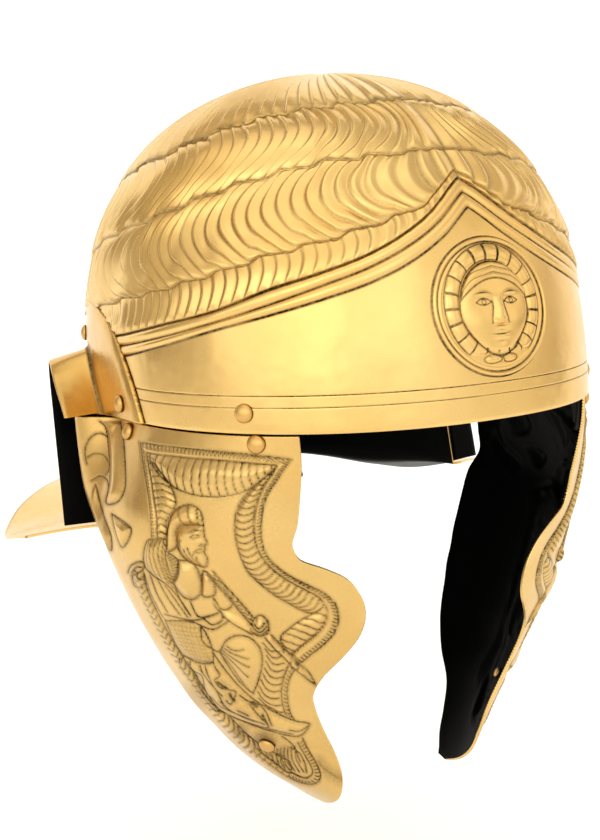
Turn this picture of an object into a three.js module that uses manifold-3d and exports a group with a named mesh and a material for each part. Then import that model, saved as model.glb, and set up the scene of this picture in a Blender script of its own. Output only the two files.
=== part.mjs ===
// Roman cavalry helmet in embossed sheet brass: bowl with neck guard, ear guards, cheek pieces.
// Millimetres, +Z up. The brow faces -Y and the wearer's right is -X. The origin is the centre
// of the head opening: the brow rim lies at z = 0 and the widest section at y = 0.
import * as THREE from 'three';
import { mergeVertices } from 'three/addons/utils/BufferGeometryUtils.js';
import Module from 'manifold-3d';

const wasm = await Module();
wasm.setup();

// Bowl
const HALF_WIDTH = 105;
const FRONT_REACH = 109.5;
const BACK_REACH = 139;
const CROWN_HEIGHT = 141.3;
const CROWN_SET_BACK = 9;
const PLAN_POWER = 2.2;
const DOME_WIDTH_POWER = 0.94;
const DOME_HEIGHT_POWER = 0.71;
const DOME_ROW_CROWDING = 1.35;
const CROWN_CAP_SHARE = 0.02;
const BOWL_WALL = 1.2;

// Nape and neck guard
const NAPE_DEPTH_AT_EAR = 53;
const NAPE_DEPTH_AT_BACK = 48;
const GUARD_DROP = 69;
const GUARD_HALF_WIDTH = 134;
const GUARD_BACK_REACH = 191;
const GUARD_POWER = 3;
const GUARD_FRONT_SWEEP = 19;

// Ear opening and ear guard
const EAR_BACK = 45;
const EAR_RISE = 26;
const EAR_DROP = 52;
const EAR_PLATE_WALL = 1.2;
const FLANGE_REACH = 19.5;
const FLANGE_LEAN = 5;
const FLANGE_LEAN_END = 0.56;
const FLANGE_DROOP = 6;
const FLANGE_DROOP_END = 0.8;

// Cheek piece
const CHEEK_LENGTH = 179;
const CHEEK_WALL = 1.2;
const RIM_CLEARANCE = 1;
const EAR_SWELL_RISE = 16.5;
const EAR_SWELL_DROP = 55;
const EAR_SWELL_START = 14;
const EAR_SWELL_TOP = 38;

// Hinge straps
const STRAP_THICKNESS = 2;
const STRAP_WIDTH = 21;
const STRAP_RISE = 19;
const STRAP_DROP = 17;
const STRAP_SEAT = 0.6;
const FRONT_STRAP_Y = -70.5;

// Rivets
const RIVET_HEAD_RADIUS = 3.7;
const RIVET_HEAD_HEIGHT = 2.4;
const RIVET_SHANK_RADIUS = 1.5;
const RIVET_TAIL_RADIUS = 2.6;
const RIVET_TAIL_HEIGHT = 1;
const RIVET_SIDES = 8;
const HOLE_SIDES = 6;
const BROW_RIVET_Y = -66.8;
const BROW_RIVET_HEIGHT = 7.7;
const EAR_RIVET_Y = 5.9;
const EAR_RIVET_HEIGHT = 6.4;
const CHEEK_FRONT_RIVET_Y = -69.5;
const CHEEK_FRONT_RIVET_DROP = 3;
const CHEEK_REAR_RIVET_Y = 2.3;
const CHEEK_REAR_RIVET_DROP = 4;
const TIP_RIVET_Y = -31.5;
const TIP_RIVET_DROP = 141;

// Relief raised from the outer face
const HAIR_RISE = 1.3;
const HAIR_EDGE_SHARE = 0.35;
const HAIR_FRINGE_WIDTH = 14;
const HAIR_FRINGE_TAPER = 0.4;
const CHEVRON_RISE = 0.9;
const CHEVRON_EDGE_SHARE = 0.6;
const CHEVRON_GROOVE = 1.1;
const MEDALLION_RADIUS = 28;
const MEDALLION_HEIGHT = 42.3;
const MEDALLION_OFFSET = 2.5;
const MEDALLION_RISE = 2.2;

const GAP = 0.3;
const OUTER_COLUMNS = 60;
const OUTER_DOME_ROWS = 15;
const OUTER_NAPE_ROWS = 3;
const INNER_COLUMNS = 44;
const INNER_DOME_ROWS = 9;
const INNER_NAPE_ROWS = 3;
const GUARD_ROWS = 5;
const EAR_STATIONS = 18;
const CHEEK_COLUMNS = 12;
const CHEVRON_STATIONS = 12;

// Below the nape's upright wall the sheet turns out into the neck guard
const GUARD_PROFILE = [
  // way out / whole way, outward / (guard edge - bowl), fall / (guard drop - nape depth)
  [0.00, 0.00, 0.00],
  [0.20, 0.05, 0.28],
  [0.42, 0.25, 0.48],
  [0.70, 0.62, 0.74],
  [1.00, 1.00, 1.00],
];

// The guard's edge droops most between the ear and the back
const GUARD_EDGE_DROPS = [
  // way back from ear to back, drop / GUARD_DROP
  [0.00, 0.77],
  [0.20, 0.86],
  [0.68, 1.00],
  [0.84, 0.90],
  [0.93, 0.83],
  [1.00, 0.79],
];

// Lines of the brow chevron: half of each line, from the peak round to the nape
const CHEVRON_LINES = [
  // azimuth / half turn, top, middle and bottom line height / CROWN_HEIGHT
  [0.000, 0.648, 0.608, 0.568],
  [0.022, 0.600, 0.560, 0.520],
  [0.048, 0.556, 0.520, 0.484],
  [0.090, 0.500, 0.468, 0.436],
  [0.130, 0.457, 0.427, 0.395],
  [0.215, 0.402, 0.364, 0.334],
  [0.340, 0.316, 0.290, 0.270],
  [0.520, 0.240, 0.212, 0.186],
  [0.720, 0.140, 0.115, 0.090],
  [1.000, 0.060, 0.035, 0.010],
];

// Planes that part the bands of hair, tilted down to the back
const HAIR_PARTINGS = [
  // height at the brow / CROWN_HEIGHT, height at the back / CROWN_HEIGHT
  [0.970, 0.540],
  [0.775, 0.318],
];

// Inner edge of the ear guard, where the flange stands, and outer edge of its plate
const EAR_ARCH = [
  // root y / EAR_BACK, root z, plate edge y / EAR_BACK, plate edge z
  // (a positive z is a share of EAR_RISE, a negative one of EAR_DROP)
  [0.71, 0.00, -0.33, 0.00],
  [0.84, 0.27, -0.20, 0.46],
  [0.98, 0.55, 0.02, 0.98],
  [1.09, 0.80, 0.29, 1.42],
  [1.19, 0.96, 0.67, 1.70],
  [1.30, 0.96, 1.16, 1.82],
  [1.35, 0.70, 1.60, 1.64],
  [1.29, 0.15, 1.84, 0.98],
  [1.17, -0.27, 1.84, 0.04],
  [1.07, -0.64, 1.76, -0.50],
  [1.00, -1.00, 1.66, -1.00],
];

// Level sections of the cheek piece, from its top edge to its tip
const CHEEK_ROWS = [
  // drop / CHEEK_LENGTH, half width / rim, reach / rim, front edge x / rim, rear edge y / EAR_BACK
  [0.000, 1.000, 1.000, 0.700, 0.910],
  [0.060, 1.035, 0.965, 0.694, 0.910],
  [0.120, 1.070, 0.915, 0.690, 0.890],
  [0.190, 1.105, 0.855, 0.686, 0.845],
  [0.260, 1.115, 0.808, 0.685, 0.780],
  [0.283, 1.112, 0.797, 0.655, 0.810],
  [0.302, 1.106, 0.789, 0.585, 0.830],
  [0.330, 1.093, 0.778, 0.500, 0.845],
  [0.370, 1.070, 0.763, 0.438, 0.845],
  [0.435, 1.030, 0.742, 0.402, 0.840],
  [0.485, 0.995, 0.722, 0.420, 0.827],
  [0.530, 0.962, 0.702, 0.470, 0.800],
  [0.580, 0.922, 0.672, 0.527, 0.773],
  [0.630, 0.880, 0.640, 0.545, 0.722],
  [0.675, 0.838, 0.614, 0.522, 0.678],
  [0.740, 0.775, 0.578, 0.472, 0.589],
  [0.810, 0.685, 0.552, 0.412, 0.400],
  [0.875, 0.600, 0.540, 0.372, 0.130],
  [0.930, 0.510, 0.538, 0.356, -0.060],
  [0.970, 0.430, 0.537, 0.346, -0.230],
  [1.000, 0.370, 0.537, 0.340, -0.420],
];

// Relief of the medallion: a ring, a roll of hair and a plain oval head
const MEDALLION_RINGS = [0.14, 0.28, 0.42, 0.54, 0.66, 0.78, 0.86, 0.92, 1.0];
const MEDALLION_SIDES = 20;

const brass = new THREE.MeshStandardMaterial({ color: 0xe2bd6c, roughness: 0.28, metalness: 1 });
const darkBrass = new THREE.MeshStandardMaterial({ color: 0xb08a45, roughness: 0.4, metalness: 1 });
const leather = new THREE.MeshStandardMaterial({ color: 0x1b1714, roughness: 0.7, metalness: 0 });

// Looks up a table whose first column rises, with straight lines between its rows
function lookUp(table, key, column) {
  const found = table.findIndex(entry => entry[0] >= key);
  const row = found < 0 ? table.length - 1 : Math.max(1, found);
  const [low, high] = [table[row - 1], table[row]];
  const share = THREE.MathUtils.clamp((key - low[0]) / (high[0] - low[0]), 0, 1);
  return THREE.MathUtils.lerp(low[column], high[column], share);
}

// Point of an oval: azimuth 0 is the brow (-Y), 90 degrees the wearer's left (+X)
function oval(azimuth, halfWidth, front, back, power) {
  const across = Math.sin(azimuth);
  const along = Math.cos(azimuth);
  const reach = along > 0 ? front : back;
  return new THREE.Vector2(
    Math.sign(across) * Math.abs(across) ** (2 / power) * halfWidth,
    -Math.sign(along) * Math.abs(along) ** (2 / power) * reach);
}

// Edge of the neck guard on the ray from the ear line through a point of the bowl
function guardEdge(bowlPlan) {
  const ray = new THREE.Vector2(bowlPlan.x, bowlPlan.y - EAR_BACK).normalize();
  const width = Math.abs(ray.x) / GUARD_HALF_WIDTH;
  const depth = Math.abs(ray.y) / (GUARD_BACK_REACH - EAR_BACK);
  const length = (width ** GUARD_POWER + depth ** GUARD_POWER) ** (-1 / GUARD_POWER);
  return ray.multiplyScalar(length).add(new THREE.Vector2(0, EAR_BACK));
}

// Depth of the nape's upright wall, which is less at the back
function napeDepth(y) {
  const share = THREE.MathUtils.clamp((y - EAR_BACK) / (BACK_REACH - EAR_BACK), 0, 1);
  return THREE.MathUtils.lerp(NAPE_DEPTH_AT_EAR, NAPE_DEPTH_AT_BACK, share);
}

// The bowl's outer face without relief: level 0 is the crown, 1 the rim, 2 the foot of the
// nape's wall and 3 the guard's edge
function skin(azimuth, level) {
  const plan = oval(azimuth, HALF_WIDTH, FRONT_REACH, BACK_REACH, PLAN_POWER);
  if (level > 1) {
    const depth = napeDepth(plan.y);
    if (level <= 2) return new THREE.Vector3(plan.x, plan.y, -depth * (level - 1));
    const edge = guardEdge(plan);
    const wayBack = (edge.y - EAR_BACK) / (GUARD_BACK_REACH - EAR_BACK);
    const drop = GUARD_DROP * lookUp(GUARD_EDGE_DROPS, wayBack, 1);
    plan.lerp(edge, lookUp(GUARD_PROFILE, level - 2, 1));
    const fall = (drop - depth) * lookUp(GUARD_PROFILE, level - 2, 2);
    return new THREE.Vector3(plan.x, plan.y, -depth - fall);
  }
  const climb = (Math.PI / 2) * (1 - level) ** DOME_ROW_CROWDING;
  const rise = Math.sin(climb) ** DOME_HEIGHT_POWER;
  plan.multiplyScalar(Math.cos(climb) ** DOME_WIDTH_POWER);
  return new THREE.Vector3(plan.x, plan.y + CROWN_SET_BACK * rise, CROWN_HEIGHT * rise);
}

// Level of a height on the dome, or on the nape's wall at this y
function levelOf(z, y = 0) {
  if (z < 0) return 1 - z / napeDepth(y);
  const climb = Math.asin((z / CROWN_HEIGHT) ** (1 / DOME_HEIGHT_POWER));
  return 1 - (climb / (Math.PI / 2)) ** (1 / DOME_ROW_CROWDING);
}

function outward(surface, u, v, step = 1e-3) {
  const along = surface(u + step, v).sub(surface(u - step, v));
  const down = surface(u, v + step).sub(surface(u, v - step));
  return down.cross(along).normalize();
}

// A point pushed out from the bowl's outer face, or into it where out is negative
function onBowl(azimuth, level, out) {
  if (level < 0.01) return skin(azimuth, level).add(new THREE.Vector3(0, 0, out));
  return skin(azimuth, level).addScaledVector(outward(skin, azimuth, level), out);
}

// Azimuth on the wearer's left at which the bowl has this y at this level
function azimuthOf(y, level) {
  let [low, high] = [0, Math.PI];
  for (let step = 0; step < 40; step++) {
    const middle = (low + high) / 2;
    if (skin(middle, level).y < y) low = middle;
    else high = middle;
  }
  return low;
}

function atSide(y, z, out) {
  const level = levelOf(z, y);
  return onBowl(azimuthOf(y, level), level, out);
}

// Closed solid from rings of points that all have the same length
function solidOfRings(rings) {
  const count = rings[0].length;
  const vertices = rings.flat();
  const faces = [];
  for (let ring = 0; ring < rings.length - 1; ring++) {
    for (let side = 0; side < count; side++) {
      const beside = (side + 1) % count;
      const corners = [[ring, side], [ring, beside], [ring + 1, beside], [ring + 1, side]];
      const [a, b, c, d] = corners.map(([r, s]) => r * count + s);
      faces.push(a, b, c, a, c, d);
    }
  }
  for (const [ring, turn] of [[0, 1], [rings.length - 1, 0]]) {
    const centre = vertices.length;
    const middle = new THREE.Vector3();
    rings[ring].forEach(point => middle.addScaledVector(point, 1 / count));
    vertices.push(middle);
    for (let side = 0; side < count; side++) {
      const pair = [ring * count + side, ring * count + (side + 1) % count];
      if (turn) pair.reverse();
      faces.push(pair[0], pair[1], centre);
    }
  }
  return solidOfFaces(vertices, faces);
}

// Closed wall between an outer and an inner grid of points, rows by columns
function wallOfGrids(outer, inner) {
  const rows = outer.length;
  const columns = outer[0].length;
  const rings = outer.map((row, index) => [...row, ...[...inner[index]].reverse()]);
  const vertices = rings.flat();
  const faces = [];
  const around = 2 * columns;
  for (let row = 0; row < rows - 1; row++) {
    for (let side = 0; side < around; side++) {
      const beside = (side + 1) % around;
      const [a, b] = [row * around + side, row * around + beside];
      const [d, c] = [a + around, b + around];
      faces.push(a, b, c, a, c, d);
    }
  }
  for (const [row, turn] of [[0, 1], [rows - 1, 0]]) {
    for (let column = 0; column < columns - 1; column++) {
      const start = row * around;
      const quad = [start + column, start + column + 1,
        start + around - 2 - column, start + around - 1 - column];
      if (turn) quad.reverse();
      const [a, b, c, d] = quad;
      faces.push(a, b, c, a, c, d);
    }
  }
  return solidOfFaces(vertices, faces);
}

function solidOfFaces(vertices, faces) {
  return toSolid(new THREE.BufferGeometry().setFromPoints(vertices).setIndex(faces));
}

function toSolid(geometry) {
  geometry.deleteAttribute('normal');
  geometry.deleteAttribute('uv');
  const merged = mergeVertices(geometry, 1e-3);
  const build = triVerts => new wasm.Manifold(new wasm.Mesh({
    numProp: 3,
    vertProperties: Float32Array.from(merged.attributes.position.array),
    triVerts,
  }));
  const solid = build(Uint32Array.from(merged.index.array));
  return solid.volume() > 0 ? solid : build(Uint32Array.from(merged.index.array).reverse());
}

function toMesh(name, solid, material) {
  const mesh = solid.getMesh();
  const geometry = new THREE.BufferGeometry();
  geometry.setAttribute('position', new THREE.BufferAttribute(mesh.vertProperties, 3));
  geometry.setIndex(new THREE.BufferAttribute(mesh.triVerts, 1));
  geometry.computeVertexNormals();
  const piece = new THREE.Mesh(geometry, material);
  piece.name = name;
  return piece;
}

const mirrored = solid => solid.mirror([1, 0, 0]);

// Height of one chevron line, 1 for the top line to 3 for the bottom one
function chevronHeight(azimuth, line) {
  const share = Math.abs(Math.atan2(Math.sin(azimuth), Math.cos(azimuth))) / Math.PI;
  return CROWN_HEIGHT * lookUp(CHEVRON_LINES, share, line);
}

// Swell of the hair's bands over the dome
function hairRise(azimuth, point) {
  const turn = Math.abs(Math.sin(azimuth / 2));
  const hem = chevronHeight(azimuth, 1);
  const back = (point.y + FRONT_REACH) / (FRONT_REACH + BACK_REACH);
  const partings = HAIR_PARTINGS.map(([front, rear]) =>
    CROWN_HEIGHT * THREE.MathUtils.lerp(front, rear, back));
  const fringe = hem + HAIR_FRINGE_WIDTH * Math.min(1, turn / HAIR_FRINGE_TAPER);
  const edges = [hem, fringe, partings[1], partings[0], CROWN_HEIGHT * 1.25];
  const band = edges.findIndex((edge, index) => point.z >= edge && point.z < edges[index + 1]);
  if (band < 0) return 0;
  const share = (point.z - edges[band]) / (edges[band + 1] - edges[band]);
  const swell = Math.sin(Math.PI * Math.min(1, share)) ** 0.6;
  return HAIR_RISE * THREE.MathUtils.lerp(HAIR_EDGE_SHARE, 1, swell);
}

// Solid dome and nape down to the guard's edge, pushed out or in from the outer face
function bowlBody(columns, domeRows, napeRows, outAt) {
  const levels = [];
  for (let row = 1; row <= domeRows; row++) levels.push(row / domeRows);
  for (let row = 1; row <= napeRows; row++) levels.push(1 + row / napeRows);
  for (let row = 1; row <= GUARD_ROWS; row++) levels.push(2 + row / GUARD_ROWS);
  const rings = levels.map(level => {
    const ring = [];
    for (let column = 0; column < columns; column++) {
      const azimuth = (2 * Math.PI * column) / columns;
      ring.push(onBowl(azimuth, level, outAt(azimuth, skin(azimuth, level))));
    }
    return ring;
  });
  const crown = skin(0, 0);
  crown.z += outAt(0, crown);
  rings.unshift(rings[0].map(point => crown.clone().lerp(point, CROWN_CAP_SHARE)));
  return solidOfRings(rings);
}

// Raised ribbon between two chevron lines
function chevronBand(upperLine, lowerLine, end) {
  const stations = [];
  const half = CHEVRON_STATIONS;
  for (let index = -half; index <= half; index++) {
    const azimuth = Math.sign(index) * end * (Math.abs(index) / half) ** 1.5;
    const top = chevronHeight(azimuth, upperLine) - CHEVRON_GROOVE / 2;
    const bottom = chevronHeight(azimuth, lowerLine) + CHEVRON_GROOVE / 2;
    stations.push([
      onBowl(azimuth, levelOf(top), -BOWL_WALL / 2),
      onBowl(azimuth, levelOf(top), CHEVRON_RISE * CHEVRON_EDGE_SHARE),
      onBowl(azimuth, levelOf((top + bottom) / 2), CHEVRON_RISE),
      onBowl(azimuth, levelOf(bottom), CHEVRON_RISE * CHEVRON_EDGE_SHARE),
      onBowl(azimuth, levelOf(bottom), -BOWL_WALL / 2),
    ]);
  }
  return solidOfRings(stations);
}

// Height of the medallion's relief at a share of its radius and a direction round it
function medallionRise(share, direction) {
  const [across, up] = [share * Math.cos(direction), share * Math.sin(direction)];
  const head = Math.hypot(across / 0.42, (up + 0.02) / 0.56);
  const ring = Math.exp(-(((share - 0.9) / 0.06) ** 2));
  const hair = Math.exp(-(((head - 1.3) / 0.18) ** 2)) * (up > -0.45 ? 1 : 0.3);
  const face = head < 1 ? 0.55 + 0.45 * Math.sqrt(1 - head * head) : 0;
  return MEDALLION_RISE * Math.max(0.15, 0.55 * ring, 0.75 * hair, face);
}

function medallion() {
  const surface = (share, direction, out) => {
    const x = MEDALLION_OFFSET + MEDALLION_RADIUS * share * Math.cos(direction);
    const level = levelOf(MEDALLION_HEIGHT + MEDALLION_RADIUS * share * Math.sin(direction));
    const halfSection = skin(Math.PI / 2, level).x;
    const azimuth = Math.asin(Math.sign(x) * Math.abs(x / halfSection) ** (PLAN_POWER / 2));
    return onBowl(azimuth, level, out);
  };
  const rings = MEDALLION_RINGS.map(share => {
    const ring = [];
    for (let side = 0; side < MEDALLION_SIDES; side++) {
      const direction = (2 * Math.PI * side) / MEDALLION_SIDES;
      ring.push(surface(share, direction, medallionRise(share, direction)));
    }
    return ring;
  });
  for (const share of [1, 0.5, 0.05]) {
    rings.push(rings[0].map((point, side) =>
      surface(share, (2 * Math.PI * side) / MEDALLION_SIDES, -BOWL_WALL / 2)));
  }
  return solidOfRings(rings);
}

// Rows of the ear arch in millimetres: flange root and plate edge, each as y and z
const earArch = EAR_ARCH.map(([rootY, rootZ, edgeY, edgeZ]) => {
  const height = share => share * (share > 0 ? EAR_RISE : EAR_DROP);
  return {
    root: new THREE.Vector2(rootY * EAR_BACK, height(rootZ)),
    edge: new THREE.Vector2(edgeY * EAR_BACK, height(edgeZ)),
  };
});

// Turns an extrusion's x, y and depth into other axes of the helmet
function blockOf(outline, depth, place) {
  const block = new THREE.ExtrudeGeometry(new THREE.Shape(outline), { depth, bevelEnabled: false });
  return toSolid(block.applyMatrix4(new THREE.Matrix4().set(...place)));
}

// Everything in front of the ears below the rim, with the arches over the ears
function faceAndEarOpening() {
  const below = -GUARD_DROP * 1.5;
  const width = 2.6 * GUARD_HALF_WIDTH;
  const outline = [
    new THREE.Vector2(-FRONT_REACH * 1.3, below),
    new THREE.Vector2(-FRONT_REACH * 1.3, 0),
    ...earArch.map(row => row.root),
    new THREE.Vector2(EAR_BACK, below),
  ];
  return blockOf(outline, width, [0, 0, 1, -width / 2, 1, 0, 0, 0, 0, 1, 0, 0, 0, 0, 0, 1]);
}

// In front of the guard's swept front edge on the wearer's left
function guardFrontTrim() {
  const reach = GUARD_HALF_WIDTH * 1.2;
  const slope = GUARD_FRONT_SWEEP / (GUARD_HALF_WIDTH - HALF_WIDTH);
  const outline = [
    new THREE.Vector2(HALF_WIDTH, EAR_BACK),
    new THREE.Vector2(HALF_WIDTH, EAR_BACK / 2),
    new THREE.Vector2(reach, EAR_BACK / 2),
    new THREE.Vector2(reach, EAR_BACK + slope * (reach - HALF_WIDTH)),
  ];
  return blockOf(outline, 2 * GUARD_DROP,
    [1, 0, 0, 0, 0, 1, 0, 0, 0, 0, 1, -2 * GUARD_DROP - GAP, 0, 0, 0, 1]);
}

function bowl() {
  const outer = bowlBody(OUTER_COLUMNS, OUTER_DOME_ROWS, OUTER_NAPE_ROWS,
    (azimuth, point) => point.z < 0 ? 0 : hairRise(azimuth, point));
  const inner = bowlBody(INNER_COLUMNS, INNER_DOME_ROWS, INNER_NAPE_ROWS, (azimuth, point) => {
    const above = (point.z - chevronHeight(azimuth, 1)) / HAIR_FRINGE_WIDTH;
    return HAIR_RISE * 0.6 * THREE.MathUtils.clamp(above, 0, 1) - BOWL_WALL;
  });
  const end = azimuthOf(earArch[2].edge.x, levelOf(earArch[2].edge.y));
  return outer.subtract(inner)
    .add(chevronBand(1, 2, end))
    .add(chevronBand(2, 3, end))
    .add(medallion())
    .subtract(faceAndEarOpening())
    .subtract(guardFrontTrim())
    .subtract(mirrored(guardFrontTrim()));
}

// Stations along the ear arch: the line from the plate's edge to the flange's root at each
function earStations() {
  const curve = key => new THREE.CatmullRomCurve3(earArch.map(row =>
    new THREE.Vector3(row[key].x, row[key].y, 0)));
  const [roots, edges] = [curve('root'), curve('edge')];
  const stations = [];
  for (let index = 0; index <= EAR_STATIONS; index++) {
    const share = index / EAR_STATIONS;
    const [root, edge] = [roots.getPoint(share), edges.getPoint(share)];
    const across = edge.clone().sub(root);
    const strip = [1, 0.66, 0.33].map(part => root.clone().addScaledVector(across, part));
    stations.push({ share, root, strip, unit: across.clone().normalize() });
  }
  return stations;
}

// Plate riveted over the ear opening's edge, with the flange soldered round its inner edge
function earGuard() {
  const rings = earStations().map(({ share, root, strip, unit }) => {
    const flangeFoot = root.clone().addScaledVector(unit, EAR_PLATE_WALL);
    const lean = FLANGE_LEAN * Math.max(0, 1 - share / FLANGE_LEAN_END);
    const droop = FLANGE_DROOP * Math.sin(Math.PI * Math.min(1, share / FLANGE_DROOP_END)) ** 2;
    const tips = [flangeFoot, root].map(({ x, y }) =>
      atSide(x + unit.x * lean, y + unit.y * lean - droop, FLANGE_REACH));
    return [
      ...[...strip, root].map(({ x, y }) => atSide(x, y, GAP)),
      tips[1],
      tips[0],
      ...[...strip, flangeFoot].reverse().map(({ x, y }) => atSide(x, y, GAP + EAR_PLATE_WALL)),
    ];
  });
  return solidOfRings(rings);
}

// Room for the plate: the relief under it is flat
function platePocket() {
  const rings = earStations().map(({ share, root, strip, unit }) => {
    const past = share % 1 === 0 ? new THREE.Vector2(0, -2 * GAP) : new THREE.Vector2();
    const line = [strip[0].clone().addScaledVector(unit, GAP), ...strip.slice(1),
      root.clone().addScaledVector(unit, -GAP)].map(point => point.clone().add(past));
    return [
      ...line.map(({ x, y }) => atSide(x, y, 0)),
      ...line.reverse().map(({ x, y }) => atSide(x, y, EAR_PLATE_WALL + HAIR_RISE)),
    ];
  });
  return solidOfRings(rings);
}

// The cheek piece's top edge lies just inside the rim
const cheekHalfWidth = HALF_WIDTH - BOWL_WALL - GAP;
const cheekReach = FRONT_REACH - BOWL_WALL - GAP;

function cheekOval(azimuth, drop) {
  const share = THREE.MathUtils.clamp(drop / CHEEK_LENGTH, 0, 1);
  const plan = oval(azimuth, cheekHalfWidth * lookUp(CHEEK_ROWS, share, 1),
    cheekReach * lookUp(CHEEK_ROWS, share, 2), cheekReach * lookUp(CHEEK_ROWS, share, 2), PLAN_POWER);
  // The sheet swells over the ear, most at the rim
  const swell = EAR_SWELL_RISE * THREE.MathUtils.clamp(1 - drop / EAR_SWELL_DROP, 0, 1)
    * THREE.MathUtils.smoothstep(plan.y, EAR_SWELL_START, EAR_SWELL_TOP);
  return new THREE.Vector3(plan.x + swell, plan.y, -RIM_CLEARANCE - drop);
}

function onCheek(azimuth, drop, out) {
  return cheekOval(azimuth, drop).addScaledVector(outward(cheekOval, azimuth, drop, 0.02), out);
}

// Azimuths of a cheek row's front and rear edges
function cheekEnds([, halfWidth, reach, frontX, rearY]) {
  const across = frontX / halfWidth;
  const behind = (rearY * EAR_BACK) / (cheekReach * reach);
  return [
    Math.asin(across ** (PLAN_POWER / 2)),
    Math.PI / 2 + Math.asin(Math.sign(behind) * Math.abs(behind) ** (PLAN_POWER / 2)),
  ];
}

function cheekPiece() {
  const grid = out => CHEEK_ROWS.map(row => {
    const [front, rear] = cheekEnds(row);
    const line = [];
    for (let column = 0; column < CHEEK_COLUMNS; column++) {
      const azimuth = THREE.MathUtils.lerp(front, rear, column / (CHEEK_COLUMNS - 1));
      line.push(onCheek(azimuth, row[0] * CHEEK_LENGTH, out));
    }
    return line;
  });
  return wallOfGrids(grid(0), grid(-CHEEK_WALL));
}

// Azimuth on the cheek piece with this y at this drop
function cheekAzimuth(y, drop) {
  let [low, high] = [0, Math.PI];
  for (let step = 0; step < 40; step++) {
    const middle = (low + high) / 2;
    if (cheekOval(middle, drop).y < y) low = middle;
    else high = middle;
  }
  return low;
}

// Leather tab inside the rim that joins bowl and cheek piece round a given y
function hingeStrap(y) {
  const rows = [STRAP_RISE, STRAP_RISE * 0.6, RIM_CLEARANCE * 4, -RIM_CLEARANCE,
    -STRAP_DROP * 0.55, -STRAP_DROP];
  const columns = 5;
  const grid = depth => rows.map(z => {
    const line = [];
    for (let column = 0; column < columns; column++) {
      const across = y + STRAP_WIDTH * (column / (columns - 1) - 0.5);
      line.push(z > 0
        ? atSide(across, z, -(BOWL_WALL + depth))
        : onCheek(cheekAzimuth(across, -z - RIM_CLEARANCE), -z - RIM_CLEARANCE,
          -(CHEEK_WALL + depth)));
    }
    return line;
  });
  return wallOfGrids(grid(STRAP_SEAT), grid(STRAP_SEAT + STRAP_THICKNESS));
}

// Where each rivet sits on the wearer's left: foot of its head, direction out, metal it clamps
const plateTop = GAP + EAR_PLATE_WALL;
const rivetSeats = {
  rivet_brow: { at: out => atSide(BROW_RIVET_Y, BROW_RIVET_HEIGHT, out),
    top: 0, stack: BOWL_WALL + STRAP_SEAT + STRAP_THICKNESS },
  rivet_cheek_front: { at: out => cheekSeat(CHEEK_FRONT_RIVET_Y, CHEEK_FRONT_RIVET_DROP, out),
    top: 0, stack: CHEEK_WALL + STRAP_SEAT + STRAP_THICKNESS },
  rivet_cheek_rear: { at: out => cheekSeat(CHEEK_REAR_RIVET_Y, CHEEK_REAR_RIVET_DROP, out),
    top: 0, stack: CHEEK_WALL + STRAP_SEAT + STRAP_THICKNESS },
  rivet_cheek_tip: { at: out => cheekSeat(TIP_RIVET_Y, TIP_RIVET_DROP, out),
    top: 0, stack: CHEEK_WALL },
  rivet_ear_front: { at: out => atSide(EAR_RIVET_Y, EAR_RIVET_HEIGHT, out),
    top: plateTop, stack: plateTop + BOWL_WALL + STRAP_SEAT + STRAP_THICKNESS },
  rivet_ear_top: { at: out => atSide(EAR_BACK * 1.64, EAR_RISE * 1.24, out),
    top: plateTop, stack: plateTop + BOWL_WALL },
  rivet_ear_rear: { at: out => atSide(EAR_BACK * 1.5, -EAR_DROP * 0.45, out),
    top: plateTop, stack: plateTop + BOWL_WALL },
};

function cheekSeat(y, drop, out) {
  return onCheek(cheekAzimuth(y, drop), drop, out);
}

function rivetFrame({ at, top }) {
  const foot = at(top);
  const direction = at(top + 1).sub(foot).normalize();
  const turn = new THREE.Quaternion().setFromUnitVectors(new THREE.Vector3(0, 1, 0), direction);
  return new THREE.Matrix4().compose(foot, turn, new THREE.Vector3(1, 1, 1));
}

// Domed head outside, shank through the sheets and a small upset tail inside
function rivet(seat) {
  const tail = -seat.stack - 2 * GAP;
  const profile = [
    [0, tail - RIVET_TAIL_HEIGHT],
    [RIVET_TAIL_RADIUS, tail - RIVET_TAIL_HEIGHT],
    [RIVET_TAIL_RADIUS, tail],
    [RIVET_SHANK_RADIUS, tail],
    [RIVET_SHANK_RADIUS, GAP],
    [RIVET_HEAD_RADIUS, GAP],
    [RIVET_HEAD_RADIUS * 0.8, GAP + RIVET_HEAD_HEIGHT * 0.65],
    [0, GAP + RIVET_HEAD_HEIGHT],
  ].map(([radius, height]) => new THREE.Vector2(radius, height));
  const geometry = new THREE.LatheGeometry(profile, RIVET_SIDES);
  return toSolid(geometry.applyMatrix4(rivetFrame(seat)));
}

function rivetHole(seat) {
  const length = 2 * (seat.stack + RIVET_HEAD_HEIGHT);
  const radius = (RIVET_SHANK_RADIUS + GAP) / Math.cos(Math.PI / HOLE_SIDES);
  const geometry = new THREE.CylinderGeometry(radius, radius, length, HOLE_SIDES);
  return toSolid(geometry.applyMatrix4(rivetFrame(seat)));
}

const holes = names => names.map(name => rivetHole(rivetSeats[name]));
const drilled = (solid, cutters) => cutters.reduce((rest, cutter) => rest.subtract(cutter), solid);

const helmet = new THREE.Group();
const strapPlaces = { front: FRONT_STRAP_Y, rear: (EAR_RIVET_Y + CHEEK_REAR_RIVET_Y) / 2 };
const bowlCuts = [platePocket(),
  ...holes(['rivet_brow', 'rivet_ear_front', 'rivet_ear_top', 'rivet_ear_rear'])];
helmet.add(toMesh('bowl', drilled(bowl(), [...bowlCuts, ...bowlCuts.map(mirrored)]), brass));

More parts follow.
